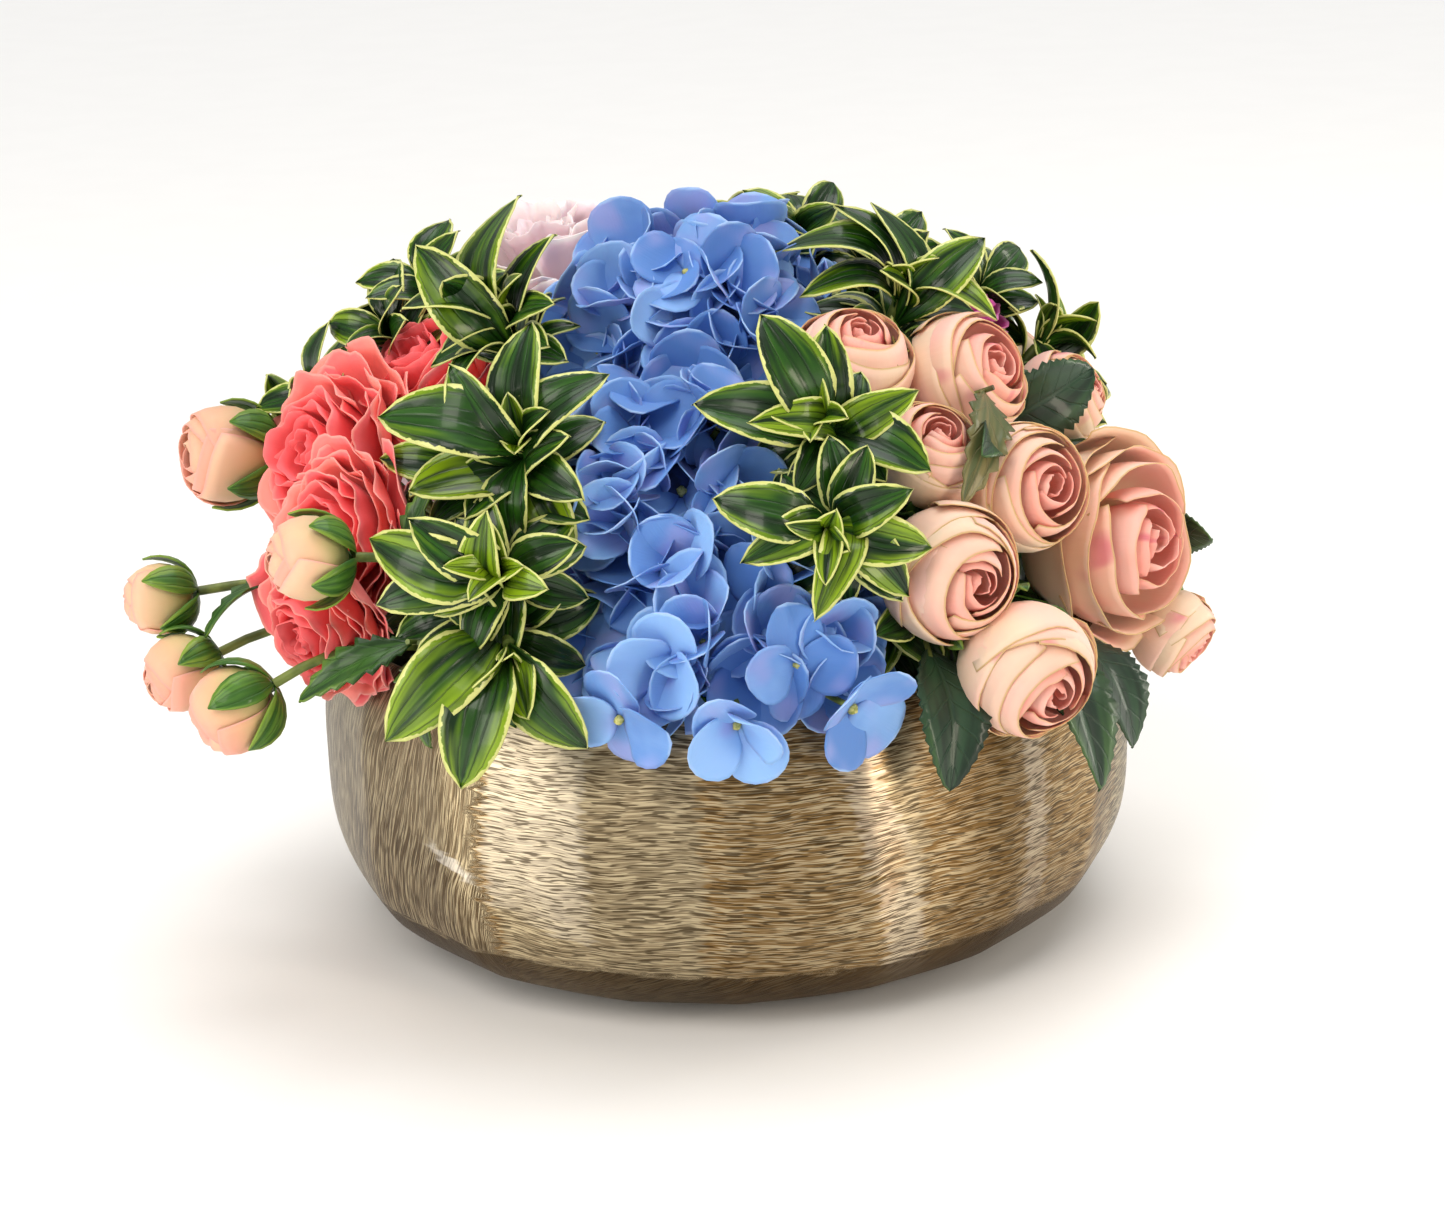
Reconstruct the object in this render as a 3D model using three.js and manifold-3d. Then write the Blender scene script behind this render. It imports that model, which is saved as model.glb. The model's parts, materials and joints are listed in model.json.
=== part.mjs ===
// A floral table centrepiece: a wide brushed-metal bowl packed with floral foam, and a mound of cut-style
// flowers and leaves whose stems stand in the foam. Millimetres, +Z up, origin at the centre of the
// bowl's base. The side with the blue heads faces -Y.
import * as THREE from "three";
import { mergeVertices } from "three/addons/utils/BufferGeometryUtils.js";
import Module from "manifold-3d";

const wasm = await Module();
wasm.setup();
const { Manifold } = wasm;

// ---------------------------------------------------------------- driving dimensions
const BOWL = { foot: 81, widest: 158, widestZ: 72, rimZ: 125, power: 3.04, wall: 2.5, floor: 3, sides: 30 };
const FOAM = { centre: [0, 0, 105], gap: 0.4, crown: 72, rise: 54, sides: 14 };
const CLEAR = 0.35; // what two pieces that meet keep between them
const SMALLEST = 0.12; // facets finer than this are merged away after a cut
const BLADE = 1.3; // thickness of a leaf or petal at its rib
const STEM = { hydrangea: 3, ranunculus: 1.8, rose: 1.8, leafy: 1.5, sides: 4, sunk: 24 };

const COLOUR = {
  bowl: { color: 0xa8977c, roughness: 0.38, metalness: 1 },
  foam: { color: 0x2c3a22, roughness: 0.95, metalness: 0 },
  blue: { color: 0x5b86cf, roughness: 0.7, metalness: 0 },
  coral: { color: 0xf0696a, roughness: 0.7, metalness: 0 },
  bud: { color: 0xf0c8a8, roughness: 0.7, metalness: 0 },
  peach: { color: 0xf0c4a4, roughness: 0.7, metalness: 0 },
  blush: { color: 0xecd3d3, roughness: 0.75, metalness: 0 },
  magenta: { color: 0xb23a86, roughness: 0.75, metalness: 0 },
  stalk: { color: 0x566a2c, roughness: 0.6, metalness: 0 },
  variegated: { color: 0x3f6a26, roughness: 0.4, metalness: 0 },
};

// Blue mop heads. "at" is the middle of the ball, "facing" the way its top points. The lowest hangs over the rim.
const DROOPING = [[-36, -161, 131], [3, -168, 130], [42, -160, 131]];
const HYDRANGEAS = [
  { name: "hydrangea_low", at: [4, -111, 138], facing: [0.05, -0.92, 0.25], radius: 53, florets: 18, hanging: DROOPING },
  { name: "hydrangea_top", at: [-2, -6, 214], facing: [0, -0.3, 1], radius: 59, florets: 20 },
  { name: "hydrangea_middle", at: [-17, -82, 184], facing: [-0.2, -0.8, 0.6], radius: 44, florets: 12 },
  { name: "hydrangea_back", at: [10, 102, 150], facing: [0.05, 0.9, 0.35], radius: 50, florets: 13 },
];

// Open coral blooms, on the left. "at" is the middle of the widest layer.
const RANUNCULUS = [
  { name: "ranunculus_upper", at: [-108, 4, 215], facing: [-0.5, -0.3, 0.8], radius: 30 },
  { name: "ranunculus_large", at: [-146, -20, 190], facing: [-0.66, -0.6, 0.45], radius: 36 },
  { name: "ranunculus_middle", at: [-138, -64, 173], facing: [-0.68, -0.72, 0.16], radius: 29 },
  { name: "ranunculus_low", at: [-146, -84, 143], facing: [-0.68, -0.7, -0.24], radius: 28 },
];

// Closed buds of the same plant, held out on thin stalks. "on" is the bloom whose spray carries the bud.
const BUDS = [
  { name: "bud_upper", at: [-189, 12, 184], facing: [-0.9, -0.4, 0.12], radius: 19, on: 0, open: 0.6 },
  { name: "bud_front", at: [-144, -120, 180], facing: [-0.93, -0.34, 0.1], radius: 15.5, on: 2, open: 0 },
  { name: "bud_far_left", at: [-212, -40, 143], facing: [-0.97, -0.15, -0.1], radius: 14, on: 1, open: 0 },
  { name: "bud_left", at: [-203, -58, 119], facing: [-0.8, -0.45, -0.3], radius: 15, on: 2, open: 0 },
  { name: "bud_low", at: [-176, -110, 122], facing: [-0.78, 0.45, -0.43], radius: 16, on: 3, open: 0.3 },
];

// Cabbage roses, on the right. "spray" is the branched stem that carries each.
const ROSES = [
  { name: "rose_crown", at: [50, -74, 230], facing: [0.25, -0.45, 0.85], radius: 21, spray: 0 },
  { name: "rose_upper", at: [91, -58, 219], facing: [0.7, -0.5, 0.45], radius: 22, spray: 0 },
  { name: "rose_inner", at: [75, -102, 203], facing: [0.35, -0.55, 0.75], radius: 18, spray: 0 },
  { name: "rose_middle", at: [109, -90, 186], facing: [0.6, -0.75, 0.25], radius: 21, spray: 1 },
  { name: "rose_front", at: [80, -128, 167], facing: [0.5, -0.85, 0], radius: 23, spray: 1 },
  { name: "rose_large", at: [145, -56, 155], facing: [0.75, -0.62, 0.12], radius: 32, spray: 2 },
  { name: "rose_low", at: [106, -132, 132], facing: [0.45, -0.8, -0.3], radius: 23, spray: 1 },
  { name: "rose_right", at: [170, -44, 114], facing: [0.7, -0.45, -0.55], radius: 15, spray: 2 },
  { name: "rose_side", at: [132, -14, 199], facing: [0.85, -0.25, 0.4], radius: 17, spray: 2 },
  { name: "rose_back_upper", at: [112, 44, 192], facing: [0.7, 0.5, 0.5], radius: 22, spray: 3 },
  { name: "rose_back_low", at: [144, 42, 148], facing: [0.85, 0.5, 0.1], radius: 24, spray: 3 },
  { name: "rose_back_inner", at: [100, 82, 176], facing: [0.55, 0.75, 0.35], radius: 22, spray: 3 },
];

// Loose pale pink blooms and small magenta ones, towards the back.
const BLUSH = [
  { name: "blush_upper", at: [-63, 62, 236], facing: [-0.2, -0.1, 0.95], radius: 34 },
  { name: "blush_back", at: [-92, 98, 150], facing: [-0.55, 0.75, 0.25], radius: 40 },
];
const MAGENTA = [
  { name: "magenta_upper", at: [100, 4, 229], facing: [0.4, -0.2, 0.85], radius: 14 },
  { name: "magenta_back", at: [62, 62, 222], facing: [0.3, 0.5, 0.8], radius: 17 },
];

// Sprigs of cream-edged leaves. "crown" is where the leaves spring from; each leaf is the way from there to its tip.
const SPRIGS = [
  {
    name: "sprig_upper_left",
    crown: [-74, -40, 241],
    leaves: [[-6, 8, 48], [15, 2, 36], [-34, 0, 34], [-42, -9, 16], [-24, -16, 26], [-26, -18, 2], [10, -20, 18]],
  },
  {
    name: "sprig_left",
    crown: [-66, -112, 214],
    from: [-56, -36],
    arriving: [-0.3, -0.3, 0.9],
    leaves: [
      [-53, -6, 20], [-28, -8, 36], [-45, -14, -10], [-3, 6, 44], [28, -6, 32], [18, -20, 10], [-6, -14, -34],
      [16, -20, -36],
    ],
  },
  {
    name: "sprig_low_left",
    crown: [-74, -142, 178],
    from: [-40, -44],
    arriving: [0, -0.9, 0.42],
    leaves: [[-50, -4, 16], [-32, -14, 24], [-6, -18, 28], [27, -10, 14], [12, -24, 2], [-44, -12, -4]],
  },
  {
    name: "sprig_hanging",
    crown: [-74, -146, 154],
    from: [-60, -26],
    arriving: [0.1, -0.95, -0.2],
    leaves: [[25, -20, -34], [-20, -22, -48], [-46, -20, -26], [6, -26, -22]],
  },
  {
    name: "sprig_centre",
    crown: [38, -118, 218],
    from: [47, -34],
    arriving: [-0.25, -0.7, 0.6],
    leaves: [[-22, 0, 46], [2, -2, 38], [30, -12, 16], [36, -20, -9], [-44, -6, 16], [-24, -22, 12], [-10, -22, -14]],
  },
  {
    name: "sprig_centre_low",
    crown: [36, -146, 192],
    from: [50, -42],
    arriving: [-0.4, -0.9, 0.1],
    leaves: [[-40, -6, 14], [-27, -18, -6], [-2, -26, -20], [40, -14, -6], [30, -16, -22], [28, -12, 14]],
  },
  {
    name: "sprig_upper_right",
    crown: [70, -40, 246],
    leaves: [[-40, 4, 30], [-20, 10, 42], [2, 6, 36], [-32, -12, 14], [-4, -18, 18], [34, 4, 24], [36, -14, 2]],
  },
  { name: "sprig_right", crown: [126, 14, 212], leaves: [[4, 0, 42], [26, 0, 16], [-14, 10, 24], [24, -14, -2], [14, 16, 24]] },
  { name: "sprig_upper_back", crown: [-114, 34, 222], leaves: [[-10, 4, 30], [-26, 0, 14], [-34, 8, -6], [-6, 18, 18]] },
  { name: "sprig_far_left", crown: [-156, 40, 186], leaves: [[-22, -6, 24], [-30, 2, 2], [-10, 18, 18], [-18, 18, -14]] },
];

// The same kind of sprig again round the back: four leaves of a front one, turned about the vertical.
const BACK_SPRIGS = [
  { name: "sprig_back_left", like: "sprig_low_left", turn: 220, crown: [-46, 146, 160], from: [-40, 52], arriving: [-0.1, 0.7, 0.6] },
  { name: "sprig_back_right", like: "sprig_centre_low", turn: 136, crown: [80, 132, 154], from: [50, 46], arriving: [0.4, 0.7, 0.5] },
  { name: "sprig_back_centre", like: "sprig_left", turn: 201, crown: [14, 72, 232], from: [4, 34] },
];

// Toothed leaves on the coral blooms' stalks: where each springs from beside its stalk, and its tip.
const STALK_LEAVES = [
  { on: 3, from: [-112, -117, 147], tip: [-152, -124, 131], width: 19 },
  { on: 3, from: [-108, -116, 146], tip: [-106, -152, 122], width: 18 },
  { on: 1, from: [-162, -50, 152], tip: [-194, -62, 138], width: 22 },
  { on: 2, from: [-112, -92, 166], tip: [-103, -94, 200], width: 15 },
];

// Toothed rose leaves: the rose whose stem bears each, where its blade starts, and its tip.
const ROSE_LEAVES = [
  { on: "rose_upper", from: [108, -44, 196], tip: [143, -34, 214], width: 24 },
  { on: "rose_inner", from: [95, -91, 207], tip: [95, -122, 209], width: 11 },
  { on: "rose_front", from: [72, -132, 138], tip: [78, -160, 100], width: 22 },
  { on: "rose_low", from: [116, -100, 126], tip: [134, -138, 91], width: 25 },
  { on: "rose_low", from: [132, -88, 127], tip: [150, -104, 92], width: 22 },
  { on: "rose_large", from: [158, -16, 140], tip: [187, -40, 150], width: 15 },
  { on: "rose_back_inner", from: [140, 60, 124], tip: [172, 62, 108], width: 26 },
  { on: "rose_back_inner", from: [108, 100, 148], tip: [126, 122, 132], width: 24 },
];

// ---------------------------------------------------------------- small helpers
const vec = (p) => new THREE.Vector3(...p);
const unit = (p) => vec(p).normalize();
const radians = THREE.MathUtils.degToRad;
const UP = new THREE.Vector3(0, 0, 1);

// A repeatable number from 0 to 1 for item i of a set.
function chance(i, set) {
  const s = Math.sin(i * 12.9898 + set * 78.233) * 43758.5453;
  return s - Math.floor(s);
}

// Turns and places a shape that was drawn about +Z.
function placement({ at, facing, spin = 0 }) {
  const turn = new THREE.Quaternion().setFromUnitVectors(UP, unit(facing));
  turn.multiply(new THREE.Quaternion().setFromAxisAngle(UP, spin));
  return new THREE.Matrix4().compose(vec(at), turn, new THREE.Vector3(1, 1, 1));
}

function solidFromGeometry(geometry) {
  const bare = geometry.clone();
  bare.deleteAttribute("normal");
  bare.deleteAttribute("uv");
  const merged = mergeVertices(bare, 1e-4);
  const mesh = new wasm.Mesh({
    numProp: 3,
    vertProperties: new Float32Array(merged.attributes.position.array),
    triVerts: new Uint32Array(merged.index.array),
  });
  return new Manifold(mesh);
}

function solidFromFaces(points, faces) {
  const geometry = new THREE.BufferGeometry().setFromPoints(points);
  geometry.setIndex(faces.flat());
  return solidFromGeometry(geometry);
}

// The outline of a blade: [share of its length, share of its greatest width].
const PLAIN = [[0.44, 1], [0.76, 0.72]];
const TOOTHED = [[0.2, 0.78], [0.3, 0.62], [0.46, 1], [0.6, 0.72], [0.74, 0.74]];

// Closed skin over rings of equal count, between a first and a last pole. Rings run anticlockwise seen from the last pole.
function skin(firstPole, rings, lastPole) {
  const n = rings[0].length;
  const points = [firstPole, ...rings.flat(), lastPole];
  const index = (ring, i) => 1 + ring * n + (i % n);
  const faces = [];
  for (let i = 0; i < n; i++) {
    faces.push([0, index(0, i + 1), index(0, i)]);
    for (let k = 0; k + 1 < rings.length; k++) {
      faces.push([index(k, i), index(k, i + 1), index(k + 1, i)]);
      faces.push([index(k, i + 1), index(k + 1, i + 1), index(k + 1, i)]);
    }
    faces.push([points.length - 1, index(rings.length - 1, i), index(rings.length - 1, i + 1)]);
  }
  return solidFromFaces(points, faces);
}

const join = (solids) => Manifold.union(solids);

// The largest single body of a solid, once slivers are merged away.
function mainBody(solid) {
  const bodies = solid.simplify(SMALLEST).decompose();
  return bodies.sort((a, b) => b.volume() - a.volume())[0];
}

// The convex outline of a bloom, a little larger all round.
function envelope(solid, middle, radius) {
  const grow = 1 + CLEAR / (0.7 * radius);
  const [x, y, z] = middle;
  return solid.hull().translate([-x, -y, -z]).scale(grow).translate([x, y, z]);
}

// ---------------------------------------------------------------- stems and blades
// A round stem as a closed skin of rings set along a list of points.
function tube(points, radius, { sides = STEM.sides, end = 1 } = {}) {
  let side = new THREE.Vector3(0.31, 0.52, 0.79);
  const rings = points.map((p, i) => {
    const ahead = points[Math.min(i + 1, points.length - 1)];
    const along = ahead.clone().sub(points[Math.max(i - 1, 0)]).normalize();
    side = side.clone().addScaledVector(along, -side.dot(along)).normalize();
    const other = new THREE.Vector3().crossVectors(along, side);
    return Array.from({ length: sides }, (_, k) => {
      const a = (2 * Math.PI * k) / sides;
      const out = side.clone().multiplyScalar(Math.cos(a)).addScaledVector(other, Math.sin(a));
      return p.clone().addScaledVector(out, i === points.length - 1 ? radius * end : radius);
    });
  });
  return skin(points[0], rings, points.at(-1));
}

// Where a stem leaves the foam: at "from", or else on the way to its end, flatter than the stem then rises.
function foamExit(end, from) {
  const [x, y, z] = FOAM.centre;
  if (from) {
    const share = Math.hypot(from[0] - x, from[1] - y) / FOAM.crown;
    return new THREE.Vector3(from[0], from[1], z + FOAM.rise * Math.sqrt(1 - share ** 2));
  }
  const way = new THREE.Vector3(end.x - x, end.y - y, (end.z - z) * 0.4);
  const scale = 1 / Math.hypot(way.x / FOAM.crown, way.y / FOAM.crown, way.z / FOAM.rise);
  return vec(FOAM.centre).addScaledVector(way, scale);
}

// The points of a stem: straight in the foam, then a bend to its end, which it reaches along "arriving".
function stemPath(end, arriving, { from, steps = 3 } = {}) {
  const exit = foamExit(end, from);
  const out = exit.clone().sub(vec(FOAM.centre)).normalize();
  const foot = exit.clone().addScaledVector(out, -STEM.sunk);
  const start = exit.clone().addScaledVector(out, 2);
  return [foot, ...bend(start, out, end, arriving, steps)];
}

// A branch that leaves a stem just above the foam.
function branchPath(stem, end, arriving, steps = 3) {
  const way = stem[1].clone().sub(stem[0]).normalize();
  return bend(stem[1].clone().addScaledVector(way, 2), way, end, arriving, steps);
}

function bend(start, leaving, end, arriving, steps) {
  const reach = end.distanceTo(start) * 0.4;
  const curve = new THREE.CubicBezierCurve3(
    start,
    start.clone().addScaledVector(leaving, reach),
    end.clone().addScaledVector(unit(arriving), -reach),
    end,
  );
  return curve.getPoints(steps);
}

// A leaf or petal: a folded blade, thickest at its rib and sharp at its edge, from a root to a tip.
// "profile" is its outline and "face" the way its upper side looks.
function blade({ root, tip, width, face, profile, arch = 0.12, fold = 0.25, grow = 0 }) {
  const along = tip.clone().sub(root);
  const length = along.length();
  along.normalize();
  const up = face.clone().addScaledVector(along, -face.dot(along)).normalize();
  const side = new THREE.Vector3().crossVectors(up, along);
  const rows = profile.map(([t, share]) => {
    const middle = root.clone().addScaledVector(along, length * t);
    middle.addScaledVector(up, arch * length * Math.sin(Math.PI * t));
    const half = (share * width) / 2 + grow;
    const lift = fold * half;
    const thick = BLADE / 2 + grow;
    return [
      middle.clone().addScaledVector(up, -thick),
      middle.clone().addScaledVector(side, half).addScaledVector(up, lift),
      middle.clone().addScaledVector(up, thick),
      middle.clone().addScaledVector(side, -half).addScaledVector(up, lift),
    ];
  });
  return skin(root, rows, tip.clone().addScaledVector(along, grow));
}

// ---------------------------------------------------------------- bowl and foam
// Half of the bowl's section, as a superellipse from the flat foot through the widest line to the rim.
function bowlSection(inset, floor) {
  const { foot, widest, widestZ, rimZ, power } = BOWL;
  const points = [];
  for (const degrees of [90, 72, 57, 41, 22, 0]) {
    const a = radians(degrees);
    const out = Math.cos(a) ** (2 / power) * (widest - inset - foot);
    const down = Math.sin(a) ** (2 / power) * (widestZ - floor);
    points.push(new THREE.Vector2(foot + out, widestZ - down));
  }
  for (const z of [(widestZ + rimZ) / 2 + 2, rimZ]) {
    const bend = 1 - ((z - widestZ) / widestZ) ** power;
    points.push(new THREE.Vector2(foot + (widest - inset - foot) * bend ** (1 / power), z));
  }
  return points;
}

// The wall between an outer and an inner section. "grow" thickens it on both faces.
function bowlShell(grow = 0) {
  const outer = bowlSection(-grow, -grow);
  const inner = bowlSection(BOWL.wall + grow, BOWL.floor + grow).reverse();
  outer.at(-1).y += grow;
  inner[0].y += grow;
  const axis = (z) => new THREE.Vector2(0, z);
  const section = [axis(-grow), ...outer, ...inner, axis(BOWL.floor + grow)];
  return solidFromGeometry(new THREE.LatheGeometry(section, BOWL.sides).rotateX(Math.PI / 2));
}

// A block that fills the bowl and is domed above its rim.
function foamBlock() {
  const { centre, gap, crown, rise, sides } = FOAM;
  const low = BOWL.floor + gap;
  const section = [
    [0, low],
    [BOWL.foot, low],
    [BOWL.widest - 24, low + 18],
    [BOWL.widest - 8, BOWL.widestZ - 14],
    [BOWL.widest - 13, centre[2]],
  ];
  for (const degrees of [0, 28, 56]) {
    section.push([crown * Math.cos(radians(degrees)), centre[2] + rise * Math.sin(radians(degrees))]);
  }
  section.push([0, centre[2] + rise]);
  const points = section.map(([r, z]) => new THREE.Vector2(r, z));
  return solidFromGeometry(new THREE.LatheGeometry(points, sides).rotateX(Math.PI / 2));
}

// ---------------------------------------------------------------- flower heads
// Layered bloom raised from one skin. Each layer is a ridge of overlapping petals: the saw-toothed radius makes
// each petal lap the next, and the rim dips where two petals meet. Sizes are shares of the radius.
function layeredBloom(bloom, { base, layers, eye, sides, ruffle = 0 }, set) {
  const { radius } = bloom;
  const matrix = placement({ ...bloom, spin: chance(set, 5) * 6 });
  const place = (r, h, a) =>
    new THREE.Vector3(r * Math.cos(a), r * Math.sin(a), h).multiplyScalar(radius).applyMatrix4(matrix);
  const angles = Array.from({ length: sides }, (_, i) => (2 * Math.PI * i) / sides);
  const rings = base.map(([r, h]) => angles.map((a) => place(r, h, a)));
  layers.forEach(({ r, h, depth, petals, lap, dip }, k) => {
    const within = (i) => {
      const turns = (i / sides) * petals + k * 0.37;
      return turns - Math.floor(turns);
    };
    const wave = (i) => ruffle * (chance(i + k * sides, set) - 0.5);
    rings.push(
      angles.map((a, i) =>
        place(r * (1 + lap * (within(i) - 0.5)) + wave(i), h - dip * Math.abs(2 * within(i) - 1) ** 2, a),
      ),
    );
    if (k + 1 < layers.length) {
      const next = layers[k + 1];
      rings.push(angles.map((a, i) => place(((r + 2 * next.r) / 3) * (1 + lap * (within(i) - 0.5) * 0.6), h - depth, a)));
    }
  });
  return skin(place(0, base[0][1] - 0.04, 0), rings, place(0, eye, 0));
}

// Low dome of many thin rows.
const RANUNCULUS_FORM = {
  base: [[0.25, -0.5], [0.72, -0.34]],
  layers: [
    { r: 1.0, h: -0.02, depth: 0.14, petals: 5, lap: 0.12, dip: 0.12 },
    { r: 0.86, h: 0.14, depth: 0.16, petals: 6, lap: 0.12, dip: 0.1 },
    { r: 0.7, h: 0.26, depth: 0.17, petals: 6, lap: 0.12, dip: 0.08 },
    { r: 0.54, h: 0.34, depth: 0.17, petals: 5, lap: 0.14, dip: 0.07 },
    { r: 0.38, h: 0.37, depth: 0.16, petals: 5, lap: 0.16, dip: 0.06 },
    { r: 0.2, h: 0.34, depth: 0.1, petals: 4, lap: 0.16, dip: 0.05 },
  ],
  eye: 0.2,
  sides: 15,
  ruffle: 0.05,
};

// Nearly closed ball with a swirl at its mouth.
const ROSE_FORM = {
  base: [[0.5, -0.82], [0.98, -0.12]],
  layers: [
    { r: 0.93, h: 0.42, depth: 0.1, petals: 3, lap: 0.08, dip: 0.22 },
    { r: 0.78, h: 0.68, depth: 0.14, petals: 3, lap: 0.12, dip: 0.14 },
    { r: 0.56, h: 0.84, depth: 0.18, petals: 4, lap: 0.16, dip: 0.1 },
    { r: 0.32, h: 0.88, depth: 0.2, petals: 3, lap: 0.2, dip: 0.08 },
  ],
  eye: 0.66,
  sides: 9,
};

// The rose that has opened: its outer petals flare.
const OPEN_ROSE_FORM = {
  base: [[0.3, -0.8], [0.66, -0.6], [0.86, -0.2]],
  layers: [
    { r: 1.02, h: 0.1, depth: 0.1, petals: 3, lap: 0.1, dip: 0.2 },
    { r: 0.9, h: 0.36, depth: 0.14, petals: 4, lap: 0.1, dip: 0.14 },
    { r: 0.72, h: 0.54, depth: 0.18, petals: 4, lap: 0.12, dip: 0.12 },
    { r: 0.52, h: 0.62, depth: 0.18, petals: 4, lap: 0.14, dip: 0.1 },
    { r: 0.3, h: 0.64, depth: 0.18, petals: 3, lap: 0.18, dip: 0.08 },
  ],
  eye: 0.42,
  sides: 14,
};

// Loose pale bloom with broad waved petals.
const BLUSH_FORM = {
  base: [[0.2, -0.6], [0.55, -0.4]],
  layers: [
    { r: 1.0, h: 0.16, depth: 0.22, petals: 5, lap: 0.12, dip: 0.26 },
    { r: 0.72, h: 0.4, depth: 0.24, petals: 5, lap: 0.14, dip: 0.22 },
    { r: 0.42, h: 0.5, depth: 0.2, petals: 4, lap: 0.18, dip: 0.16 },
  ],
  eye: 0.2,
  sides: 12,
  ruffle: 0.1,
};

const MAGENTA_FORM = {
  base: [[0.3, -0.7], [0.8, -0.3]],
  layers: [
    { r: 1.0, h: 0.1, depth: 0.25, petals: 4, lap: 0.14, dip: 0.25 },
    { r: 0.6, h: 0.5, depth: 0.25, petals: 4, lap: 0.16, dip: 0.2 },
  ],
  eye: 0.3,
  sides: 8,
  ruffle: 0.12,
};

// An egg of wrapped petals. "open" from 0 to 1 widens its mouth.
function budForm(open) {
  return {
    base: [[0.36, -0.86], [0.8, -0.44], [1, 0.1]],
    layers: [
      { r: 0.78 + 0.2 * open, h: 0.66 + 0.2 * open, depth: 0.1, petals: 3, lap: 0.08, dip: 0.1 },
      { r: 0.42 + 0.2 * open, h: 0.92, depth: 0.14, petals: 3, lap: 0.14, dip: 0.06 },
    ],
    eye: 0.86,
    sides: 8,
  };
}

// One four-petalled floret, drawn about +Z with its face up and a three-sided stalk below.
const FLORET = { reach: 21.5, notch: 0.6, cup: 0.14, thick: 2, stalk: 1.6 };
function floret(stalkLength, i, set) {
  const { reach, notch, cup, thick, stalk } = FLORET;
  const size = reach * (0.9 + 0.2 * chance(i, set));
  const rim = [];
  for (let petal = 0; petal < 4; petal++) {
    const tilt = cup * (0.5 + chance(i * 4 + petal, set + 1));
    for (const [degrees, share] of [[-45, notch], [-20, 1], [20, 1]]) {
      const a = radians(degrees + 90 * petal);
      const r = share * size;
      rim.push(new THREE.Vector3(r * Math.cos(a), r * Math.sin(a), tilt * r));
    }
  }
  const plate = skin(new THREE.Vector3(0, 0, -thick), [rim], new THREE.Vector3(0, 0, 0.4));
  const stem = [new THREE.Vector3(0, 0, -thick - stalkLength), new THREE.Vector3(0, 0, -thick / 2)];
  return join([plate, tube(stem, stalk, { sides: 3 })]);
}

// The middles of a head's florets, in an even spiral over its face.
function floretPlaces(head, set) {
  const matrix = placement({ ...head, spin: set });
  const golden = Math.PI * (3 - Math.sqrt(5));
  const places = [];
  for (let i = 0; i < head.florets; i++) {
    const height = 1 - (1.25 * (i + 0.5)) / head.florets;
    const ring = Math.sqrt(1 - height * height);
    const out = new THREE.Vector3(ring * Math.cos(golden * i), ring * Math.sin(golden * i), height);
    out.transformDirection(matrix);
    places.push(vec(head.at).addScaledVector(out, head.radius * (0.9 + 0.07 * (i % 3))));
  }
  return places.filter((p) => standsFree(p, head)).concat((head.hanging ?? []).map(vec));
}

// Whether a floret at this point would lie clear of the other heads and the bowl.
function standsFree(point, head) {
  const blocked = HYDRANGEAS.some((other) => other !== head && point.distanceTo(vec(other.at)) < other.radius * 0.86);
  const inBowl = point.z < BOWL.rimZ + 9;
  return !blocked && !inBowl;
}

// A mop head: a core, and florets that stand out of it on their stalks.
function mopHead(head, set) {
  const coreRadius = head.radius * 0.7;
  const parts = [solidFromGeometry(new THREE.IcosahedronGeometry(coreRadius, 1)).translate(head.at)];
  floretPlaces(head, set).forEach((at, i) => {
    const out = at.clone().sub(vec(head.at));
    const stalk = out.length() - coreRadius;
    const turned = placement({ at: at.toArray(), facing: out.toArray(), spin: chance(i, set + 4) * 6 });
    parts.push(floret(stalk, i, set + 6).transform(turned.elements));
  });
  return join(parts);
}

// ---------------------------------------------------------------- green parts
// The green cup under a bud, cut into pointed sepals that hug it.
function calyx(bud, grow) {
  const matrix = placement(bud);
  const lobes = 4;
  const ring = (low, high, out) =>
    Array.from({ length: lobes * 2 }, (_, i) => {
      const polar = radians(i % 2 ? low : high);
      const a = (Math.PI * i) / lobes;
      const r = Math.sin(polar) * out;
      return new THREE.Vector3(r * Math.cos(a), r * Math.sin(a), -Math.cos(polar) * out).applyMatrix4(matrix);
    });
  const outer = bud.radius * 1.16 + 1.2 + grow;
  const inner = bud.radius * 1.16 - grow;
  const pole = (out) => new THREE.Vector3(0, 0, -out).applyMatrix4(matrix);
  const rings = [ring(32, 32, outer), ring(58, 102, outer), ring(56, 99, inner), ring(32, 32, inner)];
  return skin(pole(outer), rings, pole(inner));
}

const baseOf = ({ at, facing, radius }, depth) => vec(at).addScaledVector(unit(facing), -radius * depth);

// The stalk of one coral bloom, with the stalks and sepals of the buds that it carries.
function ranunculusSpray(index, grow = 0) {
  const bloom = RANUNCULUS[index];
  const main = stemPath(baseOf(bloom, 0.4), bloom.facing);
  const parts = [tube(main, STEM.ranunculus + grow)];
  for (const bud of BUDS.filter((b) => b.on === index)) {
    const stalk = branchPath(main, baseOf(bud, 1.2), bud.facing);
    parts.push(tube(stalk, STEM.ranunculus * 0.85 + grow), calyx(bud, grow));
  }
  for (const leaf of STALK_LEAVES.filter((l) => l.on === index)) parts.push(...stalkedLeaf(main[1], leaf, grow));
  return join(parts);
}

// A toothed blade and the stalk that carries it from a point of its stem.
function stalkedLeaf(start, { from, tip, width }, grow) {
  const face = unit([tip[0], tip[1], 60]);
  const root = vec(from).addScaledVector(start.clone().sub(vec(from)).normalize(), 4);
  const stalk = tube([start, vec(from)], STEM.rose * 0.6 + grow);
  return [stalk, blade({ root, tip: vec(tip), width, face, profile: TOOTHED, grow })];
}

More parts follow.
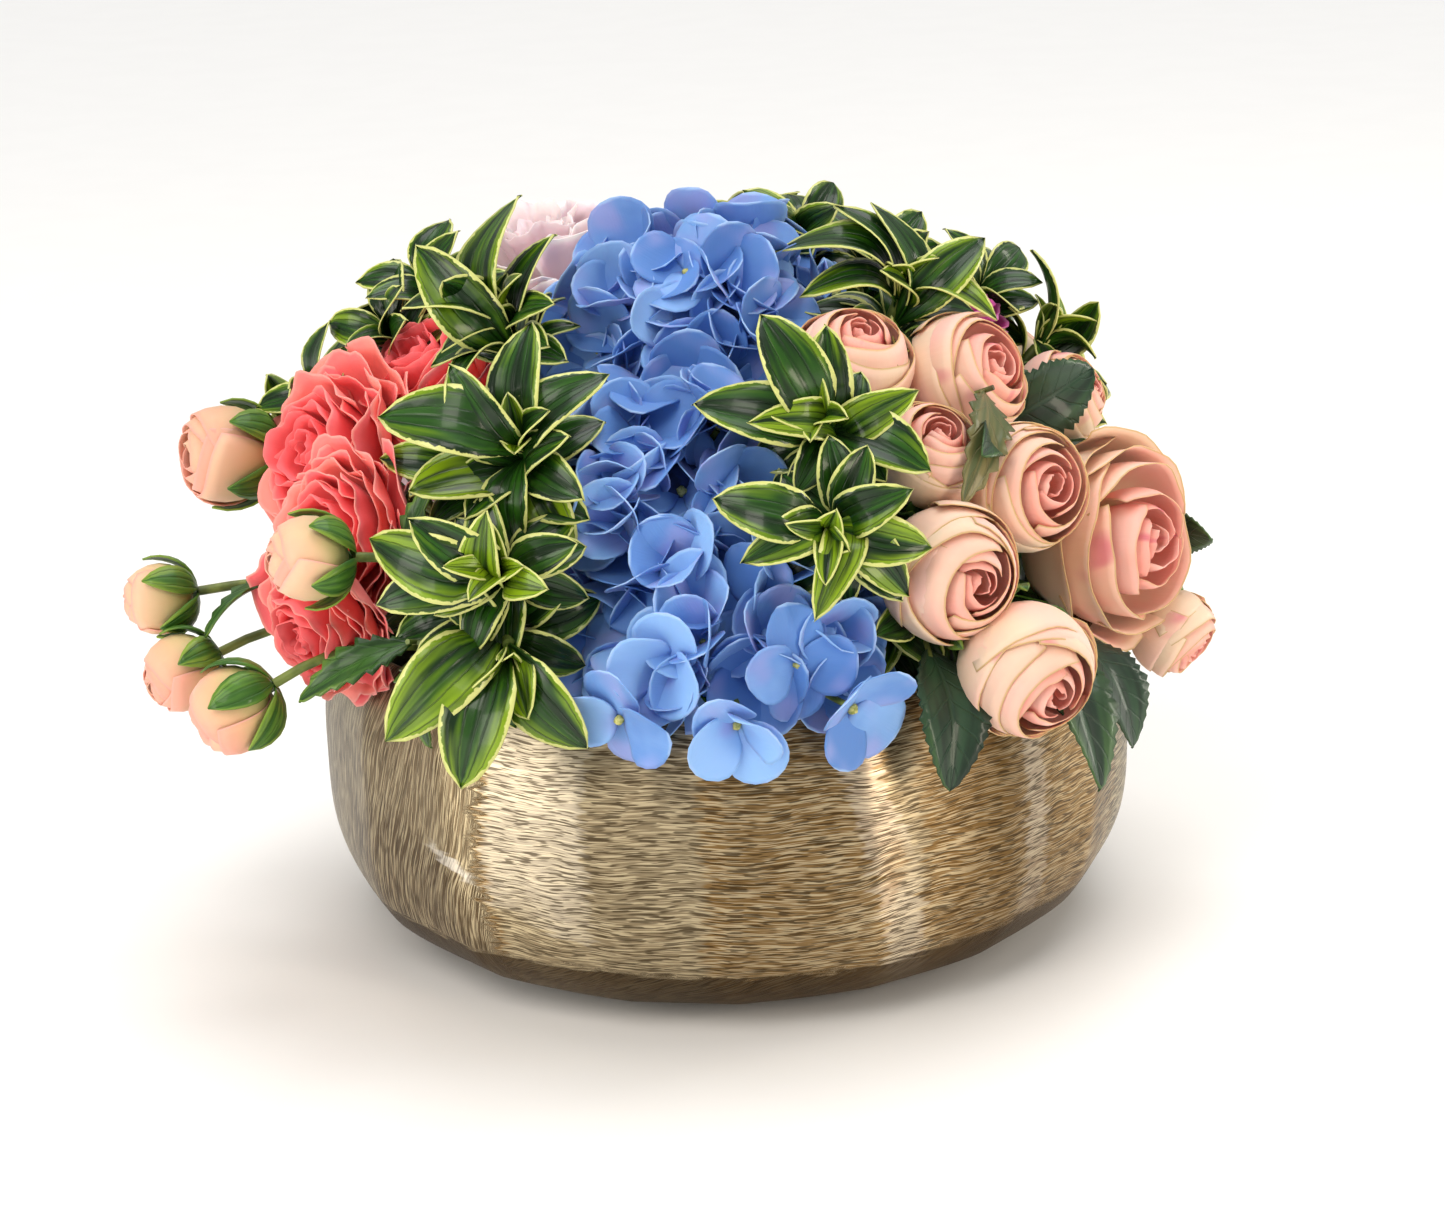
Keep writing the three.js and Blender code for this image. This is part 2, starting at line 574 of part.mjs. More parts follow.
// A branched rose stem and its toothed leaves.
function roseSpray(index, grow = 0) {
  const carried = ROSES.filter((r) => r.spray === index);
  const main = stemPath(baseOf(carried[0], 0.8), carried[0].facing);
  const parts = [];
  carried.forEach((rose, i) => {
    const path = i ? branchPath(main, baseOf(rose, 0.8), rose.facing) : main;
    parts.push(tube(path, STEM.rose * (i ? 0.9 : 1) + grow));
    for (const leaf of ROSE_LEAVES.filter((l) => l.on === rose.name)) {
      parts.push(...stalkedLeaf(path.at(-2), leaf, grow));
    }
  });
  return join(parts);
}

// Leaves at three levels about the end of a stem.
function leafySprig(sprig, grow = 0) {
  const crown = vec(sprig.crown);
  const axis = crown.clone().sub(vec(FOAM.centre)).normalize();
  const path = stemPath(crown, sprig.arriving ?? axis.toArray(), sprig);
  const parts = [tube(path, STEM.leafy + grow, { end: 2.2 })];
  sprig.leaves.forEach((leaf, i) => {
    const way = vec(leaf);
    const root = crown.clone().addScaledVector(axis, -3 - 2.5 * (i % 3));
    const tip = crown.clone().add(way);
    parts.push(blade({ root, tip, width: 6 + way.length() * 0.27, face: axis, profile: PLAIN, grow }));
  });
  return join(parts);
}

function turnedSprig({ like, turn, ...sprig }) {
  const model = SPRIGS.find((s) => s.name === like);
  const leaves = model.leaves.slice(0, 4).map((p) => vec(p).applyAxisAngle(UP, radians(turn)).toArray());
  return { ...sprig, leaves };
}

// ---------------------------------------------------------------- assembly
const group = new THREE.Group();
const placed = []; // what later pieces keep clear of: { keepOut, box }

function touches(a, b) {
  return [0, 1, 2].every((k) => a.min[k] <= b.max[k] && b.min[k] <= a.max[k]);
}

// Cuts a piece back from everything placed before it.
function cutClear(solid) {
  const box = solid.boundingBox();
  const near = placed.filter((p) => touches(p.box, box)).map((p) => p.keepOut);
  return near.length ? mainBody(solid.subtract(join(near))) : mainBody(solid);
}

function addMesh(name, solid, finish) {
  const { vertProperties, triVerts, numProp } = solid.getMesh();
  const geometry = new THREE.BufferGeometry();
  geometry.setAttribute("position", new THREE.BufferAttribute(Float32Array.from(vertProperties), numProp));
  geometry.setIndex(new THREE.BufferAttribute(Uint32Array.from(triVerts), 1));
  geometry.computeVertexNormals();
  const mesh = new THREE.Mesh(geometry, new THREE.MeshStandardMaterial(COLOUR[finish]));
  mesh.name = name;
  group.add(mesh);
}

function addPiece(name, solid, finish, keepOutOf) {
  const kept = cutClear(solid);
  addMesh(name, kept, finish);
  const keepOut = keepOutOf(kept);
  placed.push({ keepOut, box: keepOut.boundingBox() });
}

function addBloom(bloom, solid, finish) {
  addPiece(bloom.name, solid, finish, (kept) => envelope(kept, bloom.at, bloom.radius));
}

function addGreen(name, maker, finish) {
  addPiece(name, maker(0), finish, () => maker(CLEAR));
}

addPiece("bowl", bowlShell(), "bowl", () => bowlShell(CLEAR));
BUDS.forEach((bud, i) => addBloom(bud, layeredBloom(bud, budForm(bud.open), i + 20), "bud"));
ROSES.forEach((rose, i) => {
  const form = rose.radius > 30 ? OPEN_ROSE_FORM : ROSE_FORM;
  addBloom(rose, layeredBloom(rose, form, i + 30), "peach");
});
RANUNCULUS.forEach((bloom, i) => addBloom(bloom, layeredBloom(bloom, RANUNCULUS_FORM, i + 41), "coral"));
BLUSH.forEach((bloom, i) => addBloom(bloom, layeredBloom(bloom, BLUSH_FORM, i + 60), "blush"));
MAGENTA.forEach((bloom, i) => addBloom(bloom, layeredBloom(bloom, MAGENTA_FORM, i + 70), "magenta"));
HYDRANGEAS.forEach((head, i) => addBloom(head, mopHead(head, i + 1), "blue"));

for (const head of HYDRANGEAS) {
  const stem = (grow) => tube(stemPath(baseOf(head, 0.5), head.facing), STEM.hydrangea + grow);
  addGreen(head.name + "_stem", stem, "stalk");
}
RANUNCULUS.forEach((bloom, i) => addGreen(bloom.name + "_stalks", (grow) => ranunculusSpray(i, grow), "stalk"));
[0, 1, 2, 3].forEach((i) => addGreen("rose_spray_" + (i + 1), (grow) => roseSpray(i, grow), "stalk"));
for (const bloom of [...BLUSH, ...MAGENTA]) {
  const stem = (grow) => tube(stemPath(baseOf(bloom, 0.5), bloom.facing), STEM.rose + grow);
  addGreen(bloom.name + "_stem", stem, "stalk");
}
for (const sprig of [...SPRIGS, ...BACK_SPRIGS.map(turnedSprig)]) {
  addGreen(sprig.name, (grow) => leafySprig(sprig, grow), "variegated");
}
addMesh("foam", cutClear(foamBlock()), "foam");

export default group;
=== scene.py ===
import json
import math
from functools import partial

import bmesh
import bpy
import numpy as np
from mathutils import Matrix, Vector

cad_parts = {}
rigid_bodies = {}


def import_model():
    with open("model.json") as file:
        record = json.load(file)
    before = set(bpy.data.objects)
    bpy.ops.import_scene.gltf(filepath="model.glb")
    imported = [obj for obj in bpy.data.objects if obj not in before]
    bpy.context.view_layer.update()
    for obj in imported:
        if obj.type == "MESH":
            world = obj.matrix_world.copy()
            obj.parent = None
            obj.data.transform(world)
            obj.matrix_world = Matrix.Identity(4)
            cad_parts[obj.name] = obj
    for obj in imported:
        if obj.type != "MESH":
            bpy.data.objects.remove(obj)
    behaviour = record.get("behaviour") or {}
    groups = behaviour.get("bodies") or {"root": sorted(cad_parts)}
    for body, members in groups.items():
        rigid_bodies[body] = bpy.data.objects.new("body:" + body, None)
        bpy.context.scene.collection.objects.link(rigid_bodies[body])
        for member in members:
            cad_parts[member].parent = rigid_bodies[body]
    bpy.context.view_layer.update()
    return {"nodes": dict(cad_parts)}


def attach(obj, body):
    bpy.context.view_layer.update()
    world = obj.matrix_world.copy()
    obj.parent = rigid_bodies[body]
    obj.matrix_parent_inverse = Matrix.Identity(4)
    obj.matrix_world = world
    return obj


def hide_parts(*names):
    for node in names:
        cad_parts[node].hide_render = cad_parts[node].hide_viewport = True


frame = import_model()

MM = 0.001
UP = Vector((0, 0, 1))
GOLDEN_ANGLE = math.pi * (3 - math.sqrt(5))  # between one leaf or floret of an even spiral and the next

# ------------------------------------------------------------------ where everything stands (from the CAD)
BOWL = {"foot": 81, "widest": 158, "widest_z": 72, "rim_z": 125, "power": 3.04, "wall": 2.5, "floor": 3}
FOAM = {"centre": (0, 0, 105), "crown": 72, "rise": 54}

DROOPING = [(-36, -161, 131), (3, -168, 130), (42, -160, 131)]
RIM_FLORETS = [(-18, -156, 148), (24, -158, 147)]
HYDRANGEAS = {  # middle, way it faces, radius, florets
    "hydrangea_low": ((4, -111, 138), (0.05, -0.92, 0.25), 53, 74),
    "hydrangea_top": ((-2, -6, 214), (0, -0.3, 1), 59, 100),
    "hydrangea_middle": ((-17, -82, 184), (-0.2, -0.8, 0.6), 44, 50),
    "hydrangea_back": ((10, 102, 150), (0.05, 0.9, 0.35), 50, 60),
}
RANUNCULUS = {  # middle, way it faces, radius
    "ranunculus_upper": ((-108, 4, 215), (-0.5, -0.3, 0.8), 30),
    "ranunculus_large": ((-146, -20, 190), (-0.66, -0.6, 0.45), 36),
    "ranunculus_middle": ((-138, -64, 173), (-0.68, -0.72, 0.16), 29),
    "ranunculus_low": ((-146, -84, 143), (-0.68, -0.7, -0.24), 28),
}
BUDS = {  # middle, way it faces, radius, bloom whose stalk carries it, how far its mouth is open
    "bud_upper": ((-189, 12, 184), (-0.9, -0.4, 0.12), 19, "ranunculus_upper", 0.6),
    "bud_front": ((-144, -120, 180), (-0.93, -0.34, 0.1), 15.5, "ranunculus_middle", 0),
    "bud_far_left": ((-212, -40, 143), (-0.97, -0.15, -0.1), 14, "ranunculus_large", 0),
    "bud_left": ((-203, -58, 119), (-0.8, -0.45, -0.3), 15, "ranunculus_middle", 0),
    "bud_low": ((-176, -110, 122), (-0.86, -0.12, -0.5), 16, "ranunculus_low", 0.3),
}
ROSES = {  # middle, way it faces, radius, spray that carries it
    "rose_crown": ((50, -74, 230), (0.25, -0.45, 0.85), 21, 1),
    "rose_upper": ((91, -58, 219), (0.7, -0.5, 0.45), 22, 1),
    "rose_inner": ((75, -102, 203), (0.35, -0.55, 0.75), 18, 1),
    "rose_middle": ((109, -90, 186), (0.6, -0.75, 0.25), 21, 2),
    "rose_front": ((80, -128, 167), (0.5, -0.85, 0), 23, 2),
    "rose_large": ((145, -56, 155), (0.75, -0.62, 0.12), 32, 3),
    "rose_low": ((106, -132, 132), (0.45, -0.8, -0.3), 23, 2),
    "rose_right": ((170, -44, 114), (0.7, -0.45, -0.55), 15, 3),
    "rose_side": ((132, -14, 199), (0.85, -0.25, 0.4), 17, 3),
    "rose_back_upper": ((112, 44, 192), (0.7, 0.5, 0.5), 22, 4),
    "rose_back_low": ((144, 42, 148), (0.85, 0.5, 0.1), 24, 4),
    "rose_back_inner": ((100, 82, 176), (0.55, 0.75, 0.35), 22, 4),
}
LOOSE = {  # middle, way it faces, radius
    "blush_upper": ((-63, 62, 236), (-0.2, -0.1, 0.95), 34),
    "blush_back": ((-93, 100, 155), (-0.55, 0.75, 0.32), 38),
    "magenta_upper": ((100, 4, 229), (0.4, -0.2, 0.85), 14),
    "magenta_back": ((62, 62, 222), (0.3, 0.5, 0.8), 17),
}
SPRIGS = {  # crown, leaves as the way to each tip, where its stem leaves the foam, way it arrives
    "sprig_upper_left": (
        (-74, -40, 241),
        [(-6, 8, 48), (15, 2, 36), (-34, 0, 34), (-42, -9, 16), (-24, -16, 26), (-26, -18, 2), (10, -20, 18)],
        None,
        None,
    ),
    "sprig_left": (
        (-66, -112, 214),
        [
            (-53, -6, 20), (-28, -8, 36), (-45, -14, -10), (-3, 6, 44), (28, -6, 32), (18, -20, 10),
            (-6, -14, -34), (16, -20, -36),
        ],
        (-56, -36),
        (-0.3, -0.3, 0.9),
    ),
    "sprig_low_left": (
        (-74, -142, 178),
        [(-50, -4, 16), (-32, -14, 24), (-6, -18, 28), (27, -10, 14), (12, -24, 2), (-44, -12, -4)],
        (-40, -44),
        (0, -0.9, 0.42),
    ),
    "sprig_hanging": (
        (-74, -146, 154),
        [(25, -20, -34), (-20, -22, -48), (-46, -20, -26), (6, -26, -22)],
        (-60, -26),
        (0.1, -0.95, -0.2),
    ),
    "sprig_centre": (
        (38, -118, 218),
        [(-22, 0, 46), (2, -2, 38), (30, -12, 16), (36, -20, -9), (-44, -6, 16), (-24, -22, 12), (-10, -22, -14)],
        (47, -34),
        (-0.25, -0.7, 0.6),
    ),
    "sprig_centre_low": (
        (36, -146, 192),
        [(-40, -6, 14), (-27, -18, -6), (-2, -26, -20), (40, -14, -6), (30, -16, -22), (28, -12, 14)],
        (50, -42),
        (-0.4, -0.9, 0.1),
    ),
    "sprig_upper_right": (
        (70, -40, 246),
        [(-40, 4, 30), (-20, 10, 42), (2, 6, 36), (-32, -12, 14), (-4, -18, 18), (34, 4, 24), (36, -14, 2)],
        None,
        None,
    ),
    "sprig_right": ((126, 14, 212), [(4, 0, 42), (26, 0, 16), (-14, 10, 24), (24, -14, -2), (14, 16, 24)], None, None),
    "sprig_upper_back": ((-114, 34, 222), [(-10, 4, 30), (-26, 0, 14), (-34, 8, -6), (-6, 18, 18)], None, None),
    "sprig_far_left": ((-156, 40, 186), [(-22, -6, 24), (-30, 2, 2), (-10, 18, 18), (-18, 18, -14)], None, None),
}
BACK_SPRIGS = {  # sprig it is like, turned about the vertical, crown, where it leaves the foam, way it arrives
    "sprig_back_left": ("sprig_low_left", 220, (-46, 146, 160), (-40, 52), (-0.1, 0.7, 0.6)),
    "sprig_back_right": ("sprig_centre_low", 136, (80, 132, 154), (50, 46), (0.4, 0.7, 0.5)),
    "sprig_back_centre": ("sprig_left", 201, (14, 72, 232), (4, 34), None),
}
STALK_LEAVES = [  # bloom whose stalk bears it, root, tip, width
    ("ranunculus_low", (-112, -117, 147), (-152, -124, 131), 19),
    ("ranunculus_low", (-108, -116, 146), (-106, -152, 122), 18),
    ("ranunculus_large", (-162, -50, 152), (-194, -62, 138), 22),
    ("ranunculus_middle", (-112, -92, 166), (-103, -94, 200), 15),
]
ROSE_LEAVES = [  # rose whose stem bears it, root, tip, width
    ("rose_upper", (108, -44, 196), (143, -34, 214), 24),
    ("rose_inner", (95, -91, 207), (95, -122, 209), 11),
    ("rose_front", (72, -132, 138), (78, -160, 100), 22),
    ("rose_low", (116, -100, 126), (134, -138, 91), 25),
    ("rose_low", (132, -88, 127), (150, -104, 92), 22),
    ("rose_large", (158, -16, 140), (187, -40, 150), 15),
    ("rose_back_inner", (140, 60, 124), (172, 62, 108), 26),
    ("rose_back_inner", (108, 100, 148), (126, 122, 132), 24),
]

# ------------------------------------------------------------------ finer sizes
FLORET_FORMS = 12  # florets that differ, before they are turned and scaled
FLORET_PETAL = 21  # mm long
BLUSH_CLEARANCE = 50  # mm that the florets keep from the pale bloom beside them
SPRIG_LEAF = 1.2  # makes a sprig's leaf widest past its middle, where 1 is at its middle
LIP_RISE = 0.6  # mm by which the bowl's lip is rounded
SEAM_GAP = 0.00002  # m within which the swept bowl's seam is closed
BEATEN_WAVES = (16.0, 16.0, 9.0)  # waves of the beaten wall to a metre: about 60 mm round and 110 mm up
BRUSHED_RADIUS = 150.0  # mm, which turns an angle up the wall into a height along it
# mm along and across the cut to a grain, and a pattern comes round every third grain: dashes 1.3 mm apart over brush
# lines 1 mm apart, which is twice their real spacing, so that they show
DASH, BRUSH_LINE = (6.0, 0.44), (10.0, 0.36)
TORN_EDGE = (14.0, 2.2)  # mm round and up the bowl to a grain of a panel's ragged edge
HAND_PRESSURE = 18.0  # drifts of the brush to a metre: 55 mm each
DYE_CLOUDS = 70.0  # clouds of dye to a metre: 14 mm each
LEAF_BLOTCHES = 120.0  # to a metre: 8 mm each
MARGIN_SPECKS = 420.0  # to a metre: 2.4 mm each
PETAL_RIBS = 34.0  # across a petal: about 1 mm apart, where the real threads are finer, so that they show


# ------------------------------------------------------------------ node trees
ARITHMETIC = {
    "plus": "ADD", "minus": "SUBTRACT", "times": "MULTIPLY", "over": "DIVIDE", "most": "MAXIMUM", "size": "ABSOLUTE",
    "root": "SQRT", "sine": "SINE", "cosine": "COSINE", "bearing": "ARCTAN2",
}
# Steps of a pattern: kind of node, its settings, the sockets that its inputs go to in order, the output that it gives.
# "ease" is 0 below its low value and 1 above its high one, and smooth in between.
STEPS = {
    "ease": ("ShaderNodeMapRange", {"interpolation_type": "SMOOTHSTEP"}, (0, 1, 2), 0),
    "mix": ("ShaderNodeMix", {"data_type": "RGBA"}, (0, 6, 7), 2),
    **{step: ("ShaderNodeMath", {"operation": operation}, (0, 1), 0) for step, operation in ARITHMETIC.items()},
}


def fill(made, inputs):
    """Gives a node's sockets their values, or links them to other nodes' outputs."""
    for socket, value in inputs.items():
        if isinstance(value, bpy.types.NodeSocket):
            made.id_data.links.new(value, made.inputs[socket])
        else:
            made.inputs[socket].default_value = value


def node(tree, kind, *inputs, out=0, **settings):
    """Adds a node, or a step named above, with its settings and links, and gives one output, or all where out is
    None. Inputs are values or other nodes' outputs, in the sockets' order or in a dict by socket."""
    kind, fixed, sockets, out = STEPS.get(kind, (kind, {}, range(len(inputs)), out))
    made = tree.nodes.new(kind)
    for name, value in {**fixed, **settings}.items():
        setattr(made, name, value)
    fill(made, inputs[0] if inputs and isinstance(inputs[0], dict) else dict(zip(sockets, inputs)))
    return made.outputs if out is None else made.outputs[out]


def paint(text):
    """An sRGB hex colour as linear RGBA."""
    parts = [int(text[i : i + 2], 16) / 255 for i in (1, 3, 5)]
    return (*(p / 12.92 if p <= 0.04045 else ((p + 0.055) / 1.055) ** 2.4 for p in parts), 1)


def surface(name, **constants):
    """A new material with its constants on the Principled node; gives it, node() for its tree, and that shader."""
    material = bpy.data.materials.new(name)
    material.use_nodes = True
    shader = material.node_tree.nodes["Principled BSDF"]
    fill(shader, {socket.replace("_", " "): value for socket, value in constants.items()})
    return material, partial(node, material.node_tree), shader


def top_layer(add, shader, colour, height, depth_mm, strength):
    """Gives the shader its colour, and raises the surface by a height from 0 to 1."""
    raised = add("ShaderNodeBump", {"Height": height, "Distance": depth_mm * MM, "Strength": strength})
    fill(shader, {"Base Color": colour, "Normal": raised})


def marks_of(add):
    """The place of a point on its petal or leaf: across, along, tone and depth, each from 0 to 1."""
    source = add("ShaderNodeAttribute", out=None, attribute_name="mark")
    return (*add("ShaderNodeSeparateColor", source["Color"], out=None), source["Alpha"])


def grain(add, x, y, z, detail=2.0):
    """Noise at a point given in grains, so each size is a real one divided out."""
    place = add("ShaderNodeCombineXYZ", x, y, z)
    return add("ShaderNodeTexNoise", {"Vector": place, "Scale": 1.0, "Detail": detail})


# ------------------------------------------------------------------ materials
def silk_petals(name, foot, body, tint, rim, inner=None, flush=None, rim_width=0.06, foot_reach=0.5, streak=None):
    """Dyed polyester silk: matt, softly lit through, with faint ribs that fan out along each petal.
    tint and flush are two more dyes that drift over the body, foot the colour where the petal is held, inner the
    colour of the rows inside the bloom, streak the dye drawn in from the rim, and rim the paler heat-cut edge."""
    material, add, shader = surface(
        name, Roughness=0.6, Subsurface_Weight=0.1, Subsurface_Scale=0.002, Sheen_Weight=0.1, Sheen_Roughness=0.5
    )
    across, along, tone, depth = marks_of(add)
    place = add("ShaderNodeTexCoord", out="Object")
    drift = add("ShaderNodeTexNoise", {"Vector": place, "Scale": DYE_CLOUDS, "Detail": 2.0})
    dye = add("plus", add("times", drift, 0.6), add("times", tone, 0.8))
    colour = add("mix", add("ease", dye, 0.35, 1.05), paint(body), paint(tint))
    if inner:
        inwards = add("plus", depth, add("times", drift, 0.3))
        colour = add("mix", add("ease", inwards, 0.3, 0.75), colour, paint(inner))
    if flush:
        second = grain(add, add("times", across, 1.3), along, add("times", tone, 31.0), 1.0)
        colour = add("mix", add("ease", second, 0.5, 0.72), colour, paint(flush))
    low = add("plus", along, add("times", drift, 0.3))
    colour = add("mix", add("ease", low, foot_reach + 0.15, 0.15), colour, paint(foot))
    if streak:
        line = grain(add, add("times", across, 3.4), add("times", along, 0.9), add("times", tone, 57.0), 1.0)
        high = add("times", add("ease", along, 0.55, 0.95), 0.75)
        colour = add("mix", add("times", add("ease", line, 0.62, 0.76), high), colour, paint(streak))
    side = add("size", add("minus", across, 0.5))
    edge = add("most", add("times", side, 2.0), along)
    heat_cut = add("times", add("ease", edge, 1 - rim_width, 1.0), add("ease", depth, 0.75, 0.3))
    colour = add("mix", heat_cut, colour, paint(rim))
    ribs = grain(add, add("times", across, PETAL_RIBS), add("times", along, 2.5), tone)
    top_layer(add, shader, colour, ribs, 0.25, 0.4)
    return material


def waxed_leaf(name, dark, light, lime, margin=None, margin_width=0.2, veins=7.0, pinnate=False, gloss=0.3):
    """Printed polyester leaf under a wax coat: glossy, with sunken veins. lime is a paler dye that pools between the
    veins, margin the ragged cream edge of a variegated leaf."""
    material, add, shader = surface(
        name, Roughness=gloss, Coat_Weight=0.22, Coat_Roughness=0.1, Specular_IOR_Level=0.28
    )
    across, along, tone, _ = marks_of(add)
    place = add("ShaderNodeTexCoord", out="Object")
    blotch = add("ShaderNodeTexNoise", {"Vector": place, "Scale": LEAF_BLOTCHES, "Detail": 3.0})
    side = add("times", add("size", add("minus", across, 0.5)), 2.0)
    wave = add("times", side, veins * 0.5)
    if pinnate:
        wave = add("minus", add("times", along, veins), add("times", side, 1.6))
    wobble = add("plus", wave, add("times", blotch, 0.35))
    ridge = add("size", add("sine", add("times", wobble, math.pi)))
    vein = add("most", add("ease", ridge, 0.35, 0.0), add("ease", side, 0.1, 0.02))
    drawn = grain(add, add("times", across, 5.0), add("times", along, 1.3), add("times", tone, 47.0))
    body = add("mix", add("ease", drawn, 0.35, 0.65), paint(dark), paint(light))
    pool = add("plus", add("times", drawn, 1.1), add("times", add("times", side, along), 0.6))
    pool = add("plus", pool, add("times", tone, 0.6))
    body = add("mix", add("ease", pool, 0.92, 1.42), body, paint(lime))
    body = add("mix", add("times", vein, 0.55), body, paint(light if pinnate else dark))
    if margin:
        speck = add("ShaderNodeTexNoise", {"Vector": place, "Scale": MARGIN_SPECKS, "Detail": 2.0})
        ragged = add("plus", side, add("times", add("minus", speck, 0.5), 0.2))
        ragged = add("plus", ragged, add("times", add("minus", blotch, 0.5), 0.25))
        starts = add("times", add("ease", along, 0.4, 0.05), 0.16)
        tip = add("times", add("ease", along, 0.84, 0.99), 0.3)
        outer = add("minus", add("plus", ragged, tip), starts)
        body = add("mix", add("ease", outer, 1 - margin_width, 1.03 - margin_width), body, paint(margin))
    top_layer(add, shader, body, add("minus", add("times", blotch, 0.4), vein), 0.5, 0.7)
    return material


def spans(add, value, pairs, soft):
    """1 where a value lies in any of the spans, with soft edges."""
    total = 0.0
    for low, high in pairs:
        inside = add("times", add("ease", value, low, low + soft), add("ease", value, high, high - soft))
        total = add("plus", inside, total)
    return total


# azimuths from the front, in radians: panels with painted highlight bands, and slanted ones, panels of a cooler
# and of a warmer tone, and the panels on the left whose dashes stand steeply
PAINTED_HIGHLIGHT_PANELS = [(-2.75, -2.66), (-2.3, -2.12), (-0.615, -0.33), (0.74, 0.84), (1.45, 1.6), (2.2, 2.45), (2.9, 2.97)]
PAINTED_SLANTED_HIGHLIGHTS = [(0.3, 0.42), (-1.6, -1.52)]
COOL = [(-2.9, -2.5), (-1.5, -1.1), (-0.615, -0.06), (0.36, 0.46), (1.2, 1.9), (2.5, 2.8)]
GOLDEN = [(0.5, 1.2), (-2.4, -2.0)]
STEEP = [(-1.9, -0.615)]


def brushed_nickel():
    """Champagne-plated nickel on brass, brushed by hand in upright panels: short dashes cut round the bowl, which
    stand steeply on one side and slant near the foot, so that each panel takes the light in its own way. Highlights
    are also painted into the colour: bands on some panels, and a slanted line on the left."""
    material, add, shader = surface(
        "brushed_nickel", Metallic=1.0, Roughness=0.4, Anisotropic=0.9, Anisotropic_Rotation=0.25
    )
    place = add("ShaderNodeTexCoord", out="Object")
    x, y, z = add("ShaderNodeSeparateXYZ", place, out=None)
    angle = add("bearing", x, add("times", y, -1.0))
    radius = add("root", add("plus", add("times", x, x), add("times", y, y)))
    rise = add("bearing", add("minus", z, BOWL["widest_z"] * MM), radius)
    round_mm, up_mm = add("times", angle, BOWL["widest"]), add("times", rise, BRUSHED_RADIUS)
    soft = add("minus", add("ShaderNodeTexNoise", {"Vector": place, "Scale": HAND_PRESSURE, "Detail": 2.0}), 0.5)
    torn = grain(add, add("over", round_mm, TORN_EDGE[0]), add("over", up_mm, TORN_EDGE[1]), 7.0)
    torn = add("minus", torn, 0.5)
    wander = add("plus", add("times", soft, 0.12), add("times", torn, 0.12))
    warped = add("plus", angle, wander)
    steep = spans(add, warped, STEEP, 0.02)
    foot = add("ease", add("plus", rise, add("times", wander, 0.6)), -0.285, -0.3)
    slant = add("plus", add("times", steep, 1.3), add("times", foot, 0.5))
    cosine, sine = add("cosine", slant), add("sine", slant)
    with_cut = add("plus", add("times", round_mm, cosine), add("times", up_mm, sine))
    over_cut = add("minus", add("times", up_mm, cosine), add("times", round_mm, sine))
    over_cut = add("plus", over_cut, add("times", soft, 12.0))
    dash = grain(add, add("over", with_cut, DASH[0]), add("over", over_cut, DASH[1]), 0.5, 0.0)
    fine = grain(add, add("over", with_cut, BRUSH_LINE[0]), add("over", over_cut, BRUSH_LINE[1]), 3.5, 0.0)
    cut, ridge = add("ease", dash, 0.5, 0.64), add("ease", fine, 0.46, 0.62)
    # painted highlight: pale bands at fixed azimuths, some slanted, that stand in for light reflected by the panels
    slanted = add("plus", warped, add("times", rise, 0.25))
    painted_highlight_bands = add("plus", spans(add, warped, PAINTED_HIGHLIGHT_PANELS, 0.02), spans(add, slanted, PAINTED_SLANTED_HIGHLIGHTS, 0.02))
    # the painted highlight bands end in a slanted, torn edge above the foot
    ends = add("plus", add("plus", rise, add("times", angle, 0.27)), add("times", wander, 0.8))
    left = add("ease", angle, -0.2, -0.3)
    above = add("most", add("ease", ends, -0.32, -0.3), add("minus", 1.0, left))
    painted_highlight_bands = add("times", painted_highlight_bands, above)
    painted_highlight_bands = add("times", painted_highlight_bands, add("ease", add("plus", soft, add("times", rise, 0.3)), -0.25, 0.05))
    # a highlight painted along a slanted line on the left, and below that line the metal is darker
    highlight_line = add("plus", add("plus", rise, add("times", angle, 0.41)), add("times", wander, 0.5))
    smooth = add("times", spans(add, highlight_line, [(-0.37, -0.32)], 0.015), spans(add, warped, [(-0.78, -0.615)], 0.05))
    below = add("times", steep, add("ease", highlight_line, -0.33, -0.38))
    # painted highlight: the bands and the slanted line together
    painted_highlight = add("most", add("times", painted_highlight_bands, 0.55), add("times", smooth, 1.5))
    colour = add("mix", spans(add, warped, COOL, 0.03), paint("#82663f"), paint("#8e7f64"))
    for share, strength, tone in (
        (add("ease", soft, -0.1, 0.25), 0.35, "#a38a64"),
        (steep, 0.7, "#7d715c"),
        (below, 0.6, "#4f3d28"),
        (ridge, 0.6, "#dccba6"),
        (spans(add, warped, GOLDEN, 0.1), 0.35, "#6d5026"),
        # the pale colour of the painted highlight
        (painted_highlight, 0.45, "#e9e2d6"),
        (foot, 0.85, "#41301b"),
        (cut, add("plus", add("times", steep, -0.3), 0.75), "#372a1a"),
    ):
        colour = add("mix", add("times", share, strength), colour, paint(tone))
    top_layer(add, shader, colour, add("minus", add("times", ridge, 0.4), cut), 0.12, 0.45)
    fill(shader, {"Tangent": add("ShaderNodeTangent", direction_type="RADIAL", axis="Z")})
    return material


def mottled(name, low, high, size_mm, roughness, depth_mm):
    """A matt material in two colours that drift over each other, with a relief of the same size."""
    material, add, shader = surface(name, Roughness=roughness)
    place = add("ShaderNodeTexCoord", out="Object")
    cloud = add("ShaderNodeTexNoise", {"Vector": place, "Scale": 1000.0 / size_mm, "Detail": 3.0})
    colour = add("mix", add("ease", cloud, 0.35, 0.65), paint(low), paint(high))
    top_layer(add, shader, colour, cloud, depth_mm, 0.6)
    return material


